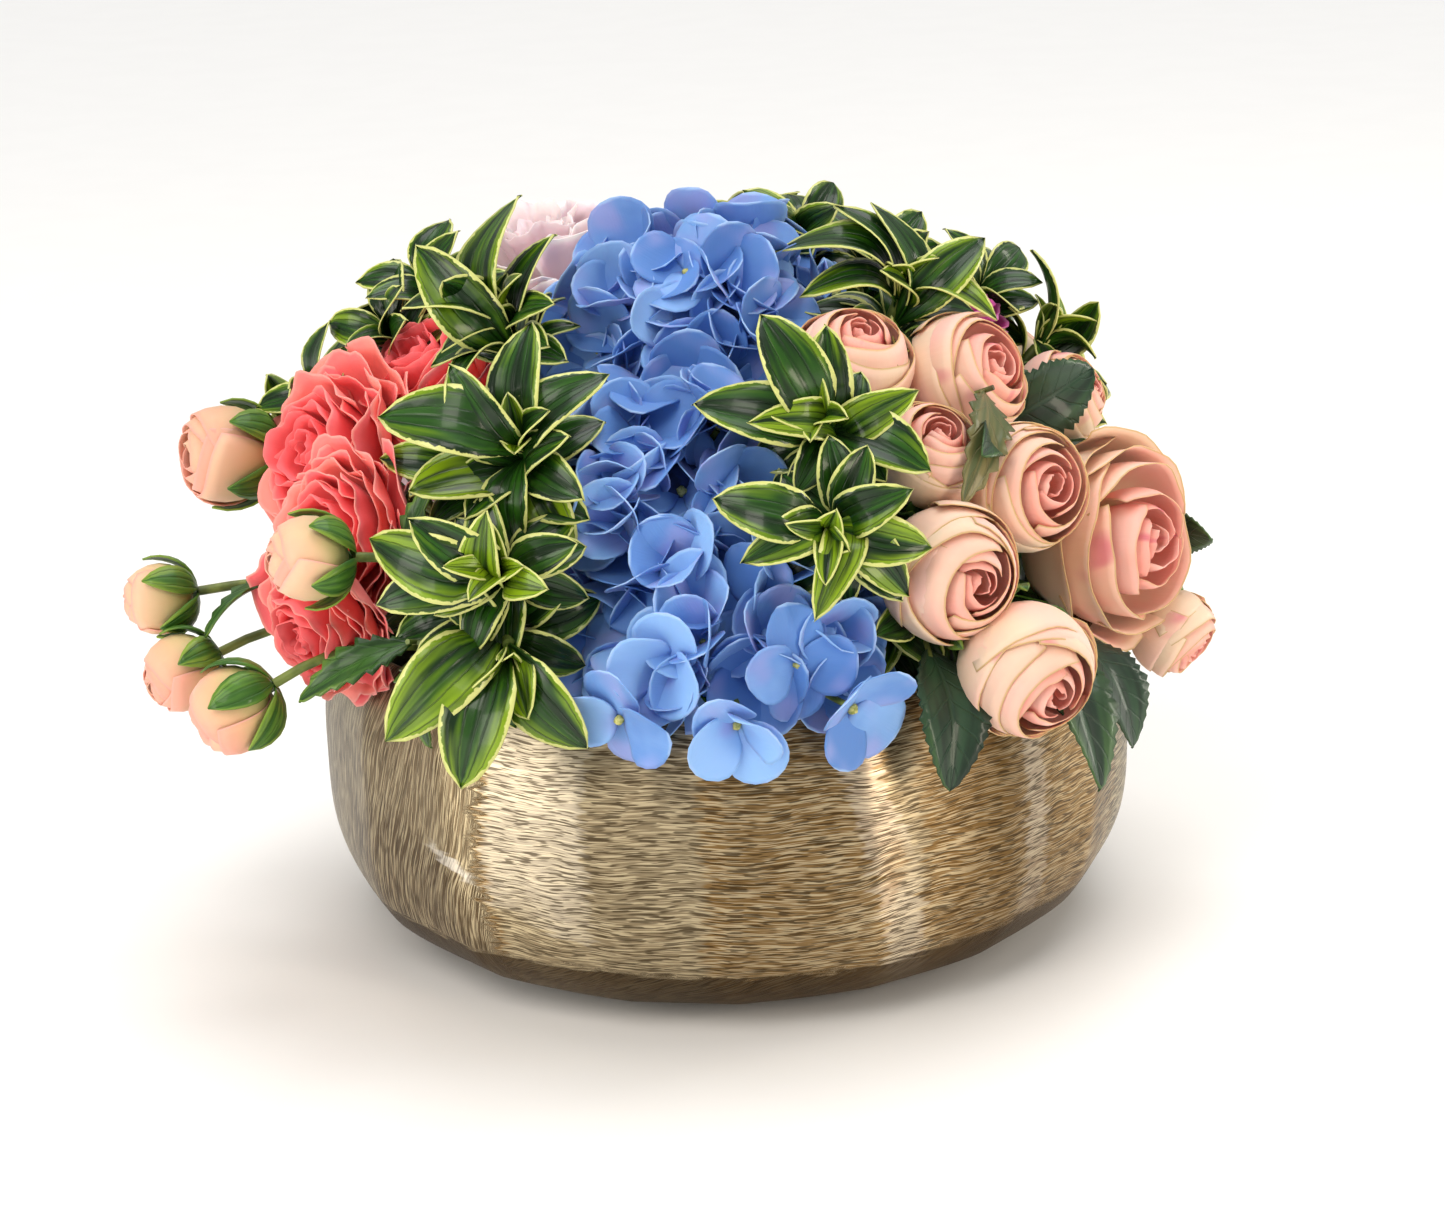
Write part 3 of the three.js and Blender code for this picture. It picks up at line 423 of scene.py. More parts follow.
NICKEL = brushed_nickel()
BLUE = silk_petals(
    "blue_silk", "#4869ad", "#5787cd", "#86b2e8", "#98bcec", flush="#8b9cda", rim_width=0.035, foot_reach=0.2
)
CORAL = silk_petals(
    "coral_silk", "#dc2e40", "#f4646a", "#f88e80", "#f99a90", inner="#f6686c", rim_width=0.05, foot_reach=0.55
)
PEACH = silk_petals(
    "peach_silk", "#c4be86", "#e8ccb0", "#ecc2ac", "#cbaa74", inner="#f4a89a", flush="#f2bcae", rim_width=0.028,
    foot_reach=0.6, streak="#cc5476",
)
CREAM_BUD = silk_petals("cream_bud_silk", "#a9b25f", "#e6b698", "#ec9f8c", "#e6a898", rim_width=0.04, foot_reach=1.1)
BLUSH = silk_petals("blush_silk", "#dcb4a4", "#f0e0e0", "#ebced8", "#f8eeee", rim_width=0.08, foot_reach=0.5)
MAGENTA = silk_petals("magenta_silk", "#7a1b58", "#b7358c", "#cf5aa8", "#d877b6", rim_width=0.1, foot_reach=0.6)
VARIEGATED = waxed_leaf(
    "variegated_leaf", "#0d260a", "#24500f", "#7c9a14", margin="#ccd07e", margin_width=0.12, veins=5.0
)
ROSE_LEAF = waxed_leaf("rose_leaf", "#14281a", "#24402a", "#3c5c2c", veins=7.0, pinnate=True, gloss=0.45)
STALK_LEAF = waxed_leaf("toothed_leaf", "#22401a", "#3c6526", "#6d8a34", veins=5.0, pinnate=True, gloss=0.45)
SEPAL = waxed_leaf("sepal_green", "#2f5a18", "#4f7c26", "#7f9a34", veins=3.0, gloss=0.55)
FILLER_LEAF = waxed_leaf("filler_leaf", "#10240e", "#20421a", "#47701c", veins=5.0, gloss=0.45)
OLIVE = waxed_leaf("olive_leaf", "#4c5530", "#72693f", "#8f8a5a", veins=5.0, pinnate=True, gloss=0.5)
STEM_GREEN = mottled("stem_plastic", "#4f5f24", "#7a8a3c", 9, 0.5, 0.15)
STEM_WOODY = mottled("woody_stem", "#4a3d24", "#66702f", 8, 0.6, 0.2)
EYE = mottled("floret_eye", "#8f9440", "#c9c478", 1.2, 0.6, 0.2)
# painted shade: a dark blue ball fills the middle of each head, so the gaps between its florets look shaded
PAINTED_SHADE_BLUE = mottled("mop_core", "#15223f", "#24396a", 6, 0.9, 0.4)
FOAM_GREEN = mottled("wet_floral_foam", "#1d2a17", "#2e3d22", 2.0, 0.95, 0.3)


# ------------------------------------------------------------------ shapes
def standing(at, facing, spin=0.0):
    """Stands a shape drawn about +Z at a point, looking along facing."""
    turn = UP.rotation_difference(Vector(facing).normalized()).to_matrix().to_4x4()
    return Matrix.Translation(at) @ turn @ Matrix.Rotation(spin, 4, "Z")


def moved(points, matrix):
    """Points taken through a matrix."""
    m = np.array(matrix)
    return points @ m[:3, :3].T + m[:3, 3]


def in_scene(name, data):
    """A new object in the scene."""
    made = bpy.data.objects.new(name, data)
    bpy.context.scene.collection.objects.link(made)
    return made


def plain_object(name, points_mm, faces, material, marks=None):
    """A smooth mesh object from points in millimetres."""
    mesh = bpy.data.meshes.new(name)
    mesh.from_pydata((points_mm * MM).tolist(), [], faces)
    if marks is not None:
        mesh.attributes.new("mark", "FLOAT_COLOR", "POINT").data.foreach_set("color", marks.astype(np.float32).ravel())
    mesh.materials.append(material)
    mesh.shade_smooth()
    return in_scene(name, mesh)


def settled(item, name=None):
    """The object with its modifiers worked into a plain mesh."""
    graph = bpy.context.evaluated_depsgraph_get()
    mesh = bpy.data.meshes.new_from_object(item.evaluated_get(graph), preserve_all_data_layers=True, depsgraph=graph)
    name = name or item.name
    bpy.data.objects.remove(item)
    mesh.name = name
    return in_scene(name, mesh)


class Sheets:
    """Petals or leaves gathered into one mesh. Each point is marked with its place: across, along, tone, depth."""

    def __init__(self):
        self.points, self.faces, self.marks, self.total = [], [], [], 0

    def add(self, grid, tone, depth=0.0, across=None, along=None, disc=False):
        """Adds a grid of points, rows from foot to rim, or a disc whose rows are rings from its middle out."""
        rows, columns, _ = grid.shape
        index = self.total + np.arange(rows * columns).reshape(rows, columns)
        if disc:
            self.faces.append(index[0].tolist())
            index = np.concatenate([index, index[:, :1]], axis=1)
        quads = np.stack([index[:-1, :-1], index[:-1, 1:], index[1:, 1:], index[1:, :-1]], axis=-1)
        if disc:
            quads = quads[..., ::-1]
        marks = np.empty((rows, columns, 4))
        marks[..., 0] = np.linspace(0, 1, columns)[None, :] if across is None else across
        marks[..., 1] = np.linspace(0, 1, rows)[:, None] if along is None else along
        marks[..., 2], marks[..., 3] = tone, depth
        self.points.append(grid.reshape(-1, 3))
        self.marks.append(marks.reshape(-1, 4))
        self.faces += quads.reshape(-1, 4).tolist()
        self.total += rows * columns

    def finish(self, name, material, thick_mm):
        """The sheets as one object, each given its thickness."""
        made = plain_object(name, np.concatenate(self.points), self.faces, material, np.concatenate(self.marks))
        shell = made.modifiers.new("thickness", "SOLIDIFY")
        shell.thickness, shell.offset = thick_mm * MM, 0.0
        return settled(made)


def round_petal(rng, length, lift, cup, curl, wave, around=20):
    """A round petal held at the origin, as rings about its middle, with its marks across and along. lift is the
    angle it stands up from flat, cup raises its sides and curl its tip."""
    ring = np.linspace(0, 2 * math.pi, around, endpoint=False)[None, :]
    share = np.array([0.34, 0.66, 0.88, 1.0])[:, None]
    edge = share * (1 + 0.025 * np.sin(3 * ring + rng.uniform(0, 6.3)))
    x = edge * np.sin(ring) * 0.53 * (1 + 0.13 * np.cos(ring))
    y = 0.53 + edge * np.cos(ring) * 0.5
    h = cup * x**2 + curl * (y**2) + wave * share**3 * np.sin(2 * ring + rng.uniform(0, 6.3))
    h = h + 0.5 * wave * share**4 * np.sin(5 * ring + rng.uniform(0, 6.3))
    rise, run = math.sin(lift), math.cos(lift)
    grid = np.stack([x, y * run - h * rise, y * rise + h * run], axis=-1) * length
    return grid, 0.5 + x * 0.9, np.clip(y, 0, 1)


def wrapped_petal(
    rng, azimuth, span, way, lap=0.0, drop=0.2, slope=0.0, ruffle=0.0, waves=4, roll=0.0, point=False, high=8, round_=13
):
    """A petal that wraps its bloom's axis. way holds four (radius, height) pairs that steer it from foot to rim;
    slope cuts its rim down towards one side."""
    u = np.linspace(-1, 1, round_)[None, :]
    v = np.linspace(0, 1, high)[:, None]
    t = v * (1 - drop * np.abs(u) ** 3 - slope * (1 + u) / 2)
    weights = [(1 - t) ** 3, 3 * t * (1 - t) ** 2, 3 * t**2 * (1 - t), t**3]
    r = sum(w * p[0] for w, p in zip(weights, way))
    h = sum(w * p[1] for w, p in zip(weights, way))
    phase = rng.uniform(0, 6.3, 4)
    rim = v**4
    wave = np.sin(waves * u + phase[0]) + 0.6 * np.sin(2.3 * waves * u + phase[1])
    lift = np.sin(1.4 * waves * u + phase[2]) + 0.5 * np.sin(3.1 * waves * u + phase[3])
    r = r * (1 + lap * u) + ruffle * rim * wave + roll * v**10
    h = h + 0.6 * ruffle * rim * lift - 0.5 * roll * v**10
    breadth = v**0.35 * (1 - v) ** 0.85 * 1.5 + 0.02 if point else 0.45 + 0.55 * np.sqrt(v)
    angle = azimuth + span * u * breadth
    return np.stack([r * np.cos(angle), r * np.sin(angle), h + 0 * u], axis=-1)


def leaf_blade(
    rng, root, tip, width, face, rows=15, columns=7, arch=0.12, fold=0.25, droop=0.1, teeth=0, tooth=0.0, broad=1.0
):
    """A leaf from root to tip, folded along its rib, arched and drooping at its tip, with toothed edges if asked."""
    root, tip, face = (np.array(p, float) for p in (root, tip, face))
    along = tip - root
    length = np.linalg.norm(along)
    along /= length
    up = face - along * face.dot(along)
    up /= np.linalg.norm(up)
    side = np.cross(up, along)
    t = np.linspace(0, 1, rows)[:, None]
    u = np.linspace(-1, 1, columns)[None, :]
    base = np.clip(t / 0.35, 0, 1) ** 0.5
    half = width / 2 * (np.sin(math.pi * t**broad) ** 0.48 * base * (1 - 0.25 * t**6) + 0.04 * (1 - t))
    if teeth:
        saw = (t * teeth) % 1.0
        half = half * (1 + tooth * (saw - 0.5) * np.abs(u) ** 6)
    sway = rng.uniform(-0.06, 0.06) * length * np.sin(math.pi * t)
    rise = arch * length * np.sin(math.pi * t) - droop * length * t**3
    rise = rise + fold * half * np.abs(u) ** 1.3 + 0.05 * width * np.sin(6 * t + rng.uniform(0, 6)) * u * np.abs(u)
    offset = half * u + sway
    return (
        root[None, None]
        + along * (length * t)[..., None]
        + side * offset[..., None]
        + up * (rise + 0 * u)[..., None]
    )


# ------------------------------------------------------------------ geometry-node trees
def new_tree(name, sockets):
    """An empty geometry tree with named inputs; gives it, node() for it, and its inputs."""
    tree = bpy.data.node_groups.new(name, "GeometryNodeTree")
    tree.interface.new_socket("Geometry", in_out="INPUT", socket_type="NodeSocketGeometry")
    for label, kind in sockets.items():
        tree.interface.new_socket(label, in_out="INPUT", socket_type="NodeSocket" + kind)
    tree.interface.new_socket("Geometry", in_out="OUTPUT", socket_type="NodeSocketGeometry")
    add = partial(node, tree)
    return tree, add, add("NodeGroupInput", out=None)


def close_tree(tree, add, geometry, material):
    """Ends a tree with Realize Instances and Set Material."""
    smooth = add("GeometryNodeSetShadeSmooth", {"Geometry": geometry})
    real = add("GeometryNodeRealizeInstances", {"Geometry": smooth})
    add("NodeGroupOutput", add("GeometryNodeSetMaterial", {"Geometry": real, "Material": material}), out=None)
    return tree


def run_tree(name, source, tree, values):
    """Runs a tree on an object and returns the result as a plain mesh object."""
    form = source.modifiers.new("form", "NODES")
    form.node_group = tree
    for item in tree.interface.items_tree:
        if item.in_out == "INPUT" and item.name in values:
            form[item.identifier] = values[item.name]
    return settled(source, name)


def stem_tree():
    """Round stems swept along paths, whose radius each point carries as "thick"."""
    tree, add, given = new_tree("stems along paths", {"Sides": "Int", "Material": "Material"})
    curve = add("GeometryNodeMeshToCurve", {"Mesh": given["Geometry"]})
    ring = add("GeometryNodeCurvePrimitiveCircle", {"Resolution": given["Sides"], "Radius": 1.0})
    thick = add("GeometryNodeInputNamedAttribute", {"Name": "thick"}, data_type="FLOAT")
    swept = add("GeometryNodeCurveToMesh", {"Curve": curve, "Profile Curve": ring, "Scale": thick, "Fill Caps": True})
    return close_tree(tree, add, swept, given["Material"])


def setting_tree():
    """Small forms of a collection set out on points that carry their "form", "turn" and "size"."""
    tree, add, given = new_tree("forms set out on points", {"Forms": "Collection", "Material": "Material"})
    forms = add(
        "GeometryNodeCollectionInfo", {"Collection": given["Forms"], "Separate Children": True, "Reset Children": True}
    )
    form, turn, size = (
        add("GeometryNodeInputNamedAttribute", {"Name": name}, data_type=kind)
        for name, kind in (("form", "INT"), ("turn", "FLOAT_VECTOR"), ("size", "FLOAT"))
    )
    placed = add(
        "GeometryNodeInstanceOnPoints",
        {
            "Points": given["Geometry"],
            "Instance": forms,
            "Pick Instance": True,
            "Instance Index": form,
            "Rotation": add("FunctionNodeEulerToRotation", {"Euler": turn}),
            "Scale": size,
        },
    )
    return close_tree(tree, add, placed, given["Material"])


def bowl_tree():
    """A section swept round a circle, then beaten into upright panels that are flatter than the circle."""
    sizes = {"Radius": "Float", "Sides": "Int", "Panels": "Float", "Depth": "Float", "Beating": "Float"}
    tree, add, given = new_tree("bowl from its section", {**sizes, "Material": "Material"})
    section = add("GeometryNodeMeshToCurve", {"Mesh": given["Geometry"]})
    ring = add("GeometryNodeCurvePrimitiveCircle", {"Resolution": given["Sides"], "Radius": given["Radius"]})
    swept = add("GeometryNodeCurveToMesh", {"Curve": ring, "Profile Curve": section, "Scale": 1.0})
    whole = add("GeometryNodeMergeByDistance", {"Geometry": swept, "Distance": SEAM_GAP})
    place = add("GeometryNodeInputPosition")
    stretched = add("ShaderNodeVectorMath", place, BEATEN_WAVES, operation="MULTIPLY")
    cloud = add("minus", add("ShaderNodeTexNoise", {"Vector": stretched, "Scale": 1.0, "Detail": 1.0}), 0.5)
    x, y, _ = add("ShaderNodeSeparateXYZ", place, out=None)
    turn = add("plus", add("bearing", y, x), add("times", cloud, 0.22))
    middle = add("size", add("cosine", add("times", turn, add("times", given["Panels"], 0.5))))
    flat = add("times", middle, given["Depth"])
    push = add("minus", add("times", add("minus", cloud, 0.3), given["Beating"]), flat)
    outward = add("ShaderNodeVectorMath", add("ShaderNodeCombineXYZ", x, y), operation="NORMALIZE")
    shift = add("ShaderNodeVectorMath", {0: outward, "Scale": push}, operation="SCALE")
    beaten = add("GeometryNodeSetPosition", {"Geometry": whole, "Offset": shift})
    return close_tree(tree, add, beaten, given["Material"])


STEM_TREE, SETTING_TREE, BOWL_TREE = stem_tree(), setting_tree(), bowl_tree()


def stems(name, paths, material, sides=10):
    """Stems along paths, each a list of points and its radius at the foot and at the end."""
    points, edges, thick = [], [], []
    for path, foot, end in paths:
        first = len(points)
        points += path
        thick += list(np.linspace(foot, end, len(path)) * MM)
        edges += [(first + i, first + i + 1) for i in range(len(path) - 1)]
    mesh = bpy.data.meshes.new(name)
    mesh.from_pydata([tuple(Vector(p) * MM) for p in points], edges, [])
    mesh.attributes.new("thick", "FLOAT", "POINT").data.foreach_set("value", thick)
    return run_tree(name, in_scene(name, mesh), STEM_TREE, {"Sides": sides, "Material": material})


def set_out(name, forms, places, material):
    """Copies of a collection's forms at places: (matrix, size, form)."""
    mesh = bpy.data.meshes.new(name)
    mesh.from_pydata([tuple(m.translation * MM) for m, _, _ in places], [], [])
    turns = [angle for m, _, _ in places for angle in m.to_euler()]
    mesh.attributes.new("turn", "FLOAT_VECTOR", "POINT").data.foreach_set("vector", turns)
    mesh.attributes.new("size", "FLOAT", "POINT").data.foreach_set("value", [s for _, s, _ in places])
    mesh.attributes.new("form", "INT", "POINT").data.foreach_set("value", [f for _, _, f in places])
    return run_tree(name, in_scene(name, mesh), SETTING_TREE, {"Forms": forms, "Material": material})


def shelf(name, items):
    """A collection that holds the forms to copy."""
    made = bpy.data.collections.new(name)
    for item in items:
        for old in list(item.users_collection):
            old.objects.unlink(item)
        made.objects.link(item)
    return made


def clear_shelf(collection):
    """Removes the forms once they are copied."""
    for item in list(collection.objects):
        bpy.data.objects.remove(item)
    bpy.data.collections.remove(collection)


def joined(name, parts):
    """The parts as one object."""
    first = parts[0]
    if len(parts) > 1:
        for item in bpy.context.view_layer.objects:
            item.select_set(item in parts)
        bpy.context.view_layer.objects.active = first
        bpy.ops.object.join()
    first.name = first.data.name = name
    return first


def dress(node_name, parts, slot):
    """Joins the parts into the one piece that replaces a CAD node."""
    piece = joined("fine_" + node_name, parts)
    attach(piece, "root")
    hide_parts(node_name)


def add_greens(name, parts):
    """Joins the parts into a piece of foliage that only the scene has."""
    piece = joined(name, parts)
    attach(piece, "root")


# ------------------------------------------------------------------ stems' ways
def foam_exit(end, leaves_at):
    """Where a stem leaves the foam."""
    x, y, z = FOAM["centre"]
    crown, rise = FOAM["crown"], FOAM["rise"]
    if leaves_at:
        share = math.hypot(leaves_at[0] - x, leaves_at[1] - y) / crown
        return Vector((*leaves_at, z + rise * math.sqrt(1 - share**2)))
    way = Vector((end[0] - x, end[1] - y, (end[2] - z) * 0.4))
    return Vector(FOAM["centre"]) + way / math.sqrt(sum((w / s) ** 2 for w, s in zip(way, (crown, crown, rise))))


def bezier(t, a, b, c, d):
    """A point on the smooth curve that leaves a towards b and reaches d from c."""
    return (1 - t) ** 3 * a + 3 * t * (1 - t) ** 2 * b + 3 * t * t * (1 - t) * c + t**3 * d


def bend(start, leaving, end, arriving, steps=12):
    """A smooth curve between two points and two directions."""
    reach = (end - start).length * 0.4
    a, b = start + leaving * reach, end - Vector(arriving).normalized() * reach
    return [bezier(i / steps, start, a, b, end) for i in range(steps + 1)]


def stem_path(end, arriving, leaves_at=None):
    """A stem from inside the foam to the foot of its flower."""
    end = Vector(end)
    leave = foam_exit(end, leaves_at)
    out = (leave - Vector(FOAM["centre"])).normalized()
    return [leave - out * 24, leave - out * 8, *bend(leave + out * 2, out, end, arriving)]


def branch_path(stem, end, arriving):
    """A branch that leaves a stem just above the foam."""
    way = (stem[2] - stem[0]).normalized()
    return bend(stem[2] + way * 2, way, Vector(end), arriving)


def base_of(at, facing, radius, depth):
    """The foot of a flower, depth radii behind its middle."""
    return Vector(at) - Vector(facing).normalized() * (radius * depth)


# ------------------------------------------------------------------ bowl and foam
def bowl_section(inset, floor, steps):
    """Half of the bowl's section: a superellipse from its flat foot through its widest line to its rim."""
    foot, wide, power, widest_z = BOWL["foot"], BOWL["widest"] - inset, BOWL["power"], BOWL["widest_z"]
    points = []
    for a in np.linspace(math.pi / 2, 0, steps):
        out = max(math.cos(a), 0) ** (2 / power) * (wide - foot)
        points.append((foot + out, widest_z - math.sin(a) ** (2 / power) * (widest_z - floor)))
    for z in np.linspace(widest_z, BOWL["rim_z"], steps // 2)[1:]:
        shrink = 1 - ((z - widest_z) / widest_z) ** power
        points.append((foot + (wide - foot) * shrink ** (1 / power), z))
    return points


def make_bowl():
    """The bowl as one closed section swept round, with a rounded lip, then beaten."""
    reach, half = BOWL["widest"], BOWL["wall"] / 2
    outer, inner = bowl_section(0, 0, 40), bowl_section(BOWL["wall"], BOWL["floor"], 28)[::-1]
    edge, top = outer[-1]
    turns = np.linspace(0.5, 2.6, 5)
    lip = [(edge - half + half * math.cos(a), top - LIP_RISE + LIP_RISE * math.sin(a)) for a in turns]
    outline = [(0, 0), *outer[:-1], *lip, *inner[1:], (0, BOWL["floor"])]
    mesh = bpy.data.meshes.new("bowl_section")
    edges = [(i, i + 1) for i in range(len(outline) - 1)]
    mesh.from_pydata([((r - reach) * MM, -z * MM, 0) for r, z in outline], edges, [])
    sizes = {"Radius": reach * MM, "Sides": 288, "Panels": 18.0, "Depth": 1.5 * MM, "Beating": 2.0 * MM}
    bowl = run_tree("fine_bowl", in_scene("bowl_section", mesh), BOWL_TREE, {**sizes, "Material": NICKEL})
    dress("bowl", [bowl], "bowl_metal")


make_bowl()
frame["nodes"]["foam"].data.materials.clear()
frame["nodes"]["foam"].data.materials.append(FOAM_GREEN)


# ------------------------------------------------------------------ blue mop heads
def make_florets():
    """A shelf of four-petalled florets, and one of their eyes."""
    rng = np.random.default_rng(11)
    florets = []
    for k in range(FLORET_FORMS):
        sheets = Sheets()
        opened = (0.15, 0.35, 0.6, 0.9)[k % 4]
        tone = rng.uniform(0, 1)
        for petal in range(4):
            inner = petal % 2
            lift = opened + 0.14 * inner + rng.uniform(-0.15, 0.25)
            cup, curl = rng.uniform(0.1, 0.9), rng.uniform(-0.35, 0.25)
            length = FLORET_PETAL * rng.uniform(0.92, 1.06)
            grid, across, along = round_petal(rng, length, lift, cup, curl, rng.uniform(0.01, 0.05))
            turn = Matrix.Rotation(math.pi / 2 * petal + rng.uniform(-0.2, 0.2), 4, "Z")
            grid = moved(grid + np.array([0, 0, 0.6 * inner]), turn)
            shade = np.clip(tone + rng.uniform(-0.35, 0.35), 0, 1)
            sheets.add(grid, shade, 0, across, along, disc=True)
        florets.append(sheets.finish("floret_%02d" % k, BLUE, 0.4))
    eye = bpy.data.objects.new("eye", ball("eye", 1.7, 2, four_lobed))
    return shelf("florets", florets), shelf("eyes", [eye])


def ball(name, radius, detail, reshape):
    """A mesh ball whose corners reshape moves in place."""
    mesh, shape = bpy.data.meshes.new(name), bmesh.new()
    bmesh.ops.create_icosphere(shape, subdivisions=detail, radius=radius * MM)
    for corner in shape.verts:
        reshape(corner.co)
    shape.to_mesh(mesh)
    shape.free()
    return mesh


def four_lobed(spot):
    """A floret's eye: four small lobes, standing on the petals."""
    spot *= 1 + 0.16 * math.cos(4 * math.atan2(spot.y, spot.x))
    spot.z += 1.6 * MM


def lumpy(spot):
    """The lumpy middle of a head: a dark blue ball that paints the shade between its florets."""
    spot *= 1 + 0.05 * math.sin(spot.x * 300 + spot.y * 410 + spot.z * 370)


def blooms_near(point, gap):
    """Whether a point lies within another flower."""
    others = [(at, r) for at, _, r, *_ in [*ROSES.values(), *RANUNCULUS.values(), *BUDS.values(), *LOOSE.values()]]
    return any((Vector(at) - point).length < r * 0.9 + gap for at, r in others)


def spiral(i, count, reach):
    """The i-th of count directions in an even spiral, from straight up to a height of 1 - reach."""
    height = 1 - reach * (i + 0.5) / count
    ring = math.sqrt(1 - height * height)
    return Vector((ring * math.cos(GOLDEN_ANGLE * i), ring * math.sin(GOLDEN_ANGLE * i), height))


def floret_places(name, rng):
    """Florets over a head in an even spiral, in three layers, where nothing else stands."""
    at, facing, radius, count = HYDRANGEAS[name]
    matrix = standing(at, facing, rng.uniform(0, 6)).to_3x3()
    heads = [(Vector(a), r) for n, (a, _, r, _) in HYDRANGEAS.items() if n != name]
    places = []
    for i in range(count):
        out = matrix @ spiral(i, count, 1.35)
        point = Vector(at) + out * radius * (0.6 + 0.11 * (i % 3))
        if any((point - a).length < r * 0.8 for a, r in heads) or point.z < BOWL["rim_z"] + 9 or blooms_near(point, 5):
            continue
        if (point - Vector(LOOSE["blush_upper"][0])).length < BLUSH_CLEARANCE:
            continue
        places.append((point, out + Vector(rng.uniform(-0.5, 0.5, 3))))
    if name == "hydrangea_low":
        for point in [*DROOPING, *RIM_FLORETS]:
            out = (Vector(point) - Vector(at)).normalized()
            places.append((Vector(point), out + Vector((0, 0, -0.2))))
    return places


def make_hydrangeas():
    """Each head: florets with their eyes and stalks round a dark lumpy ball of painted shade, on a thick stem."""
    florets, eyes = make_florets()
    for k, (name, (at, facing, radius, _)) in enumerate(HYDRANGEAS.items()):
        rng = np.random.default_rng(40 + k)
        spots = [
            (standing(p, lean, rng.uniform(0, 6.28)), rng.uniform(1.0, 1.2), int(rng.integers(FLORET_FORMS)))
            for p, lean in floret_places(name, rng)
        ]
        petals = set_out(name + "_petals", florets, spots, BLUE)
        centres = set_out(name + "_eyes", eyes, [(m, s, 0) for m, s, _ in spots], EYE)
        paths = []
        for spot, _, _ in spots:
            way = spot.translation - Vector(at)
            paths.append(([Vector(at) + way * 0.3, spot.translation - way.normalized() * 0.6], 1.2, 1.2))
        stalks = stems(name + "_stalks", paths, STEM_GREEN, 6)
        # painted shade: a dark blue ball fills the head behind its florets
        shade_ball = ball(name + "_core", radius * 0.66, 3, lumpy)
        shade_ball.transform(Matrix.Translation(Vector(at) * MM))
        shade_ball.materials.append(PAINTED_SHADE_BLUE)
        shade_ball.shade_smooth()
        dress(name, [petals, centres, stalks, in_scene(name + "_core", shade_ball)], "petal_blue")
        dress_stem(name, at, facing, radius, 3)
    clear_shelf(florets)
    clear_shelf(eyes)


def dress_stem(name, at, facing, radius, thick):
    """The single stem of a head or bloom."""
    path = stem_path(base_of(at, facing, radius, 0.5), facing)
    dress(name + "_stem", [stems(name + "_main", [(path, thick, thick)], STEM_GREEN)], "stalk_green")


make_hydrangeas()


# ------------------------------------------------------------------ layered blooms
def layered(sheets, rng, at, facing, radius, rows, **common):
    """Rows of petals from the outermost in. A row: petals, half-span in degrees, four steering pairs, its own
    settings; loose is how far a petal may stray from its row."""
    matrix = standing(at, facing, rng.uniform(0, 6))
    for k, (petals, half_span, way, set_here) in enumerate(rows):
        start = rng.uniform(0, 6)
        settings = {**common, **set_here}
        loose = settings.pop("loose", 0.015)
        for p in range(petals):
            azimuth = start + 2 * math.pi * p / petals + rng.uniform(-0.12, 0.12)
            out, up = rng.uniform(-loose, loose, 2)
            steer = [(r * (1 + out * i / 3), h + up * i / 3) for i, (r, h) in enumerate(way)]
            grid = wrapped_petal(rng, azimuth, math.radians(half_span), steer, **settings) * radius
            sheets.add(moved(grid, matrix), rng.uniform(0, 1), k / len(rows))


def rims(slope, ruffle, **more):
    """How the rims of a row are cut and waved, and what else is its own."""
    return {"slope": slope, "ruffle": ruffle, **more}


# how high the rims of a ranunculus stand, in radii, at each distance from its axis
DOME = [0.1, 0.2, 0.38, 0.54, 0.7, 0.86, 1.0], [0.4, 0.42, 0.42, 0.36, 0.26, 0.12, -0.04]


def ranunculus_rows(count=8):
    """Thin wavy rows over a low dome, the outer ones broad and loose."""
    rows = []
    for k in range(count):
        t = k / (count - 1)
        r = 1.0 - 0.86 * t
        h = float(np.interp(r, *DOME))
        petals = round(6 - 3 * t)
        way = [(0.08, -0.45), (0.75 * r + 0.05, -0.42 + 0.12 * t), (r * (1.0 + 0.06 * t), h - 0.26), (r * 1.04, h)]
        ruffle, roll, loose = 0.075 * (1 - 0.6 * t), 0.08 * (1 - t), 0.14 * (1 - 0.5 * t)
        rows.append((petals, 180 / petals * 1.45, way, rims(0.0, ruffle, roll=roll, loose=loose)))
    return rows


def rose_rows(mouth):
    """A closed garden rose: broad outer petals round a heart whose mouth is narrow at 0.8 and wide at 1.2."""
    return [
        (3, 82, [(0.1, -0.97), (1.12, -0.95), (1.26, 0.2), (0.92, 0.4)], rims(0.14, 0.018, roll=0.04, loose=0.06)),
        (3, 84, [(0.1, -0.9), (1.06, -0.85), (1.22, 0.42), (0.72 * mouth, 0.73)], rims(0.2, 0.014, loose=0.05)),
        (2, 112, [(0.1, -0.8), (1.0, -0.65), (1.12, 0.62), (0.54 * mouth, 0.88)], rims(0.14, 0.008, lap=0.1)),
        (3, 70, [(0.1, -0.5), (0.7, -0.2), (0.82, 0.72), (0.38 * mouth, 0.9)], rims(0.1, 0.01, lap=0.16)),
        (2, 95, [(0.08, -0.2), (0.46, 0.1), (0.52, 0.68), (0.25 * mouth, 0.9)], rims(0.07, 0.012, lap=0.2)),
        (2, 80, [(0.05, 0.0), (0.24, 0.2), (0.3, 0.6), (0.13 * mouth, 0.86)], rims(0.0, 0.02, lap=0.25)),
    ]


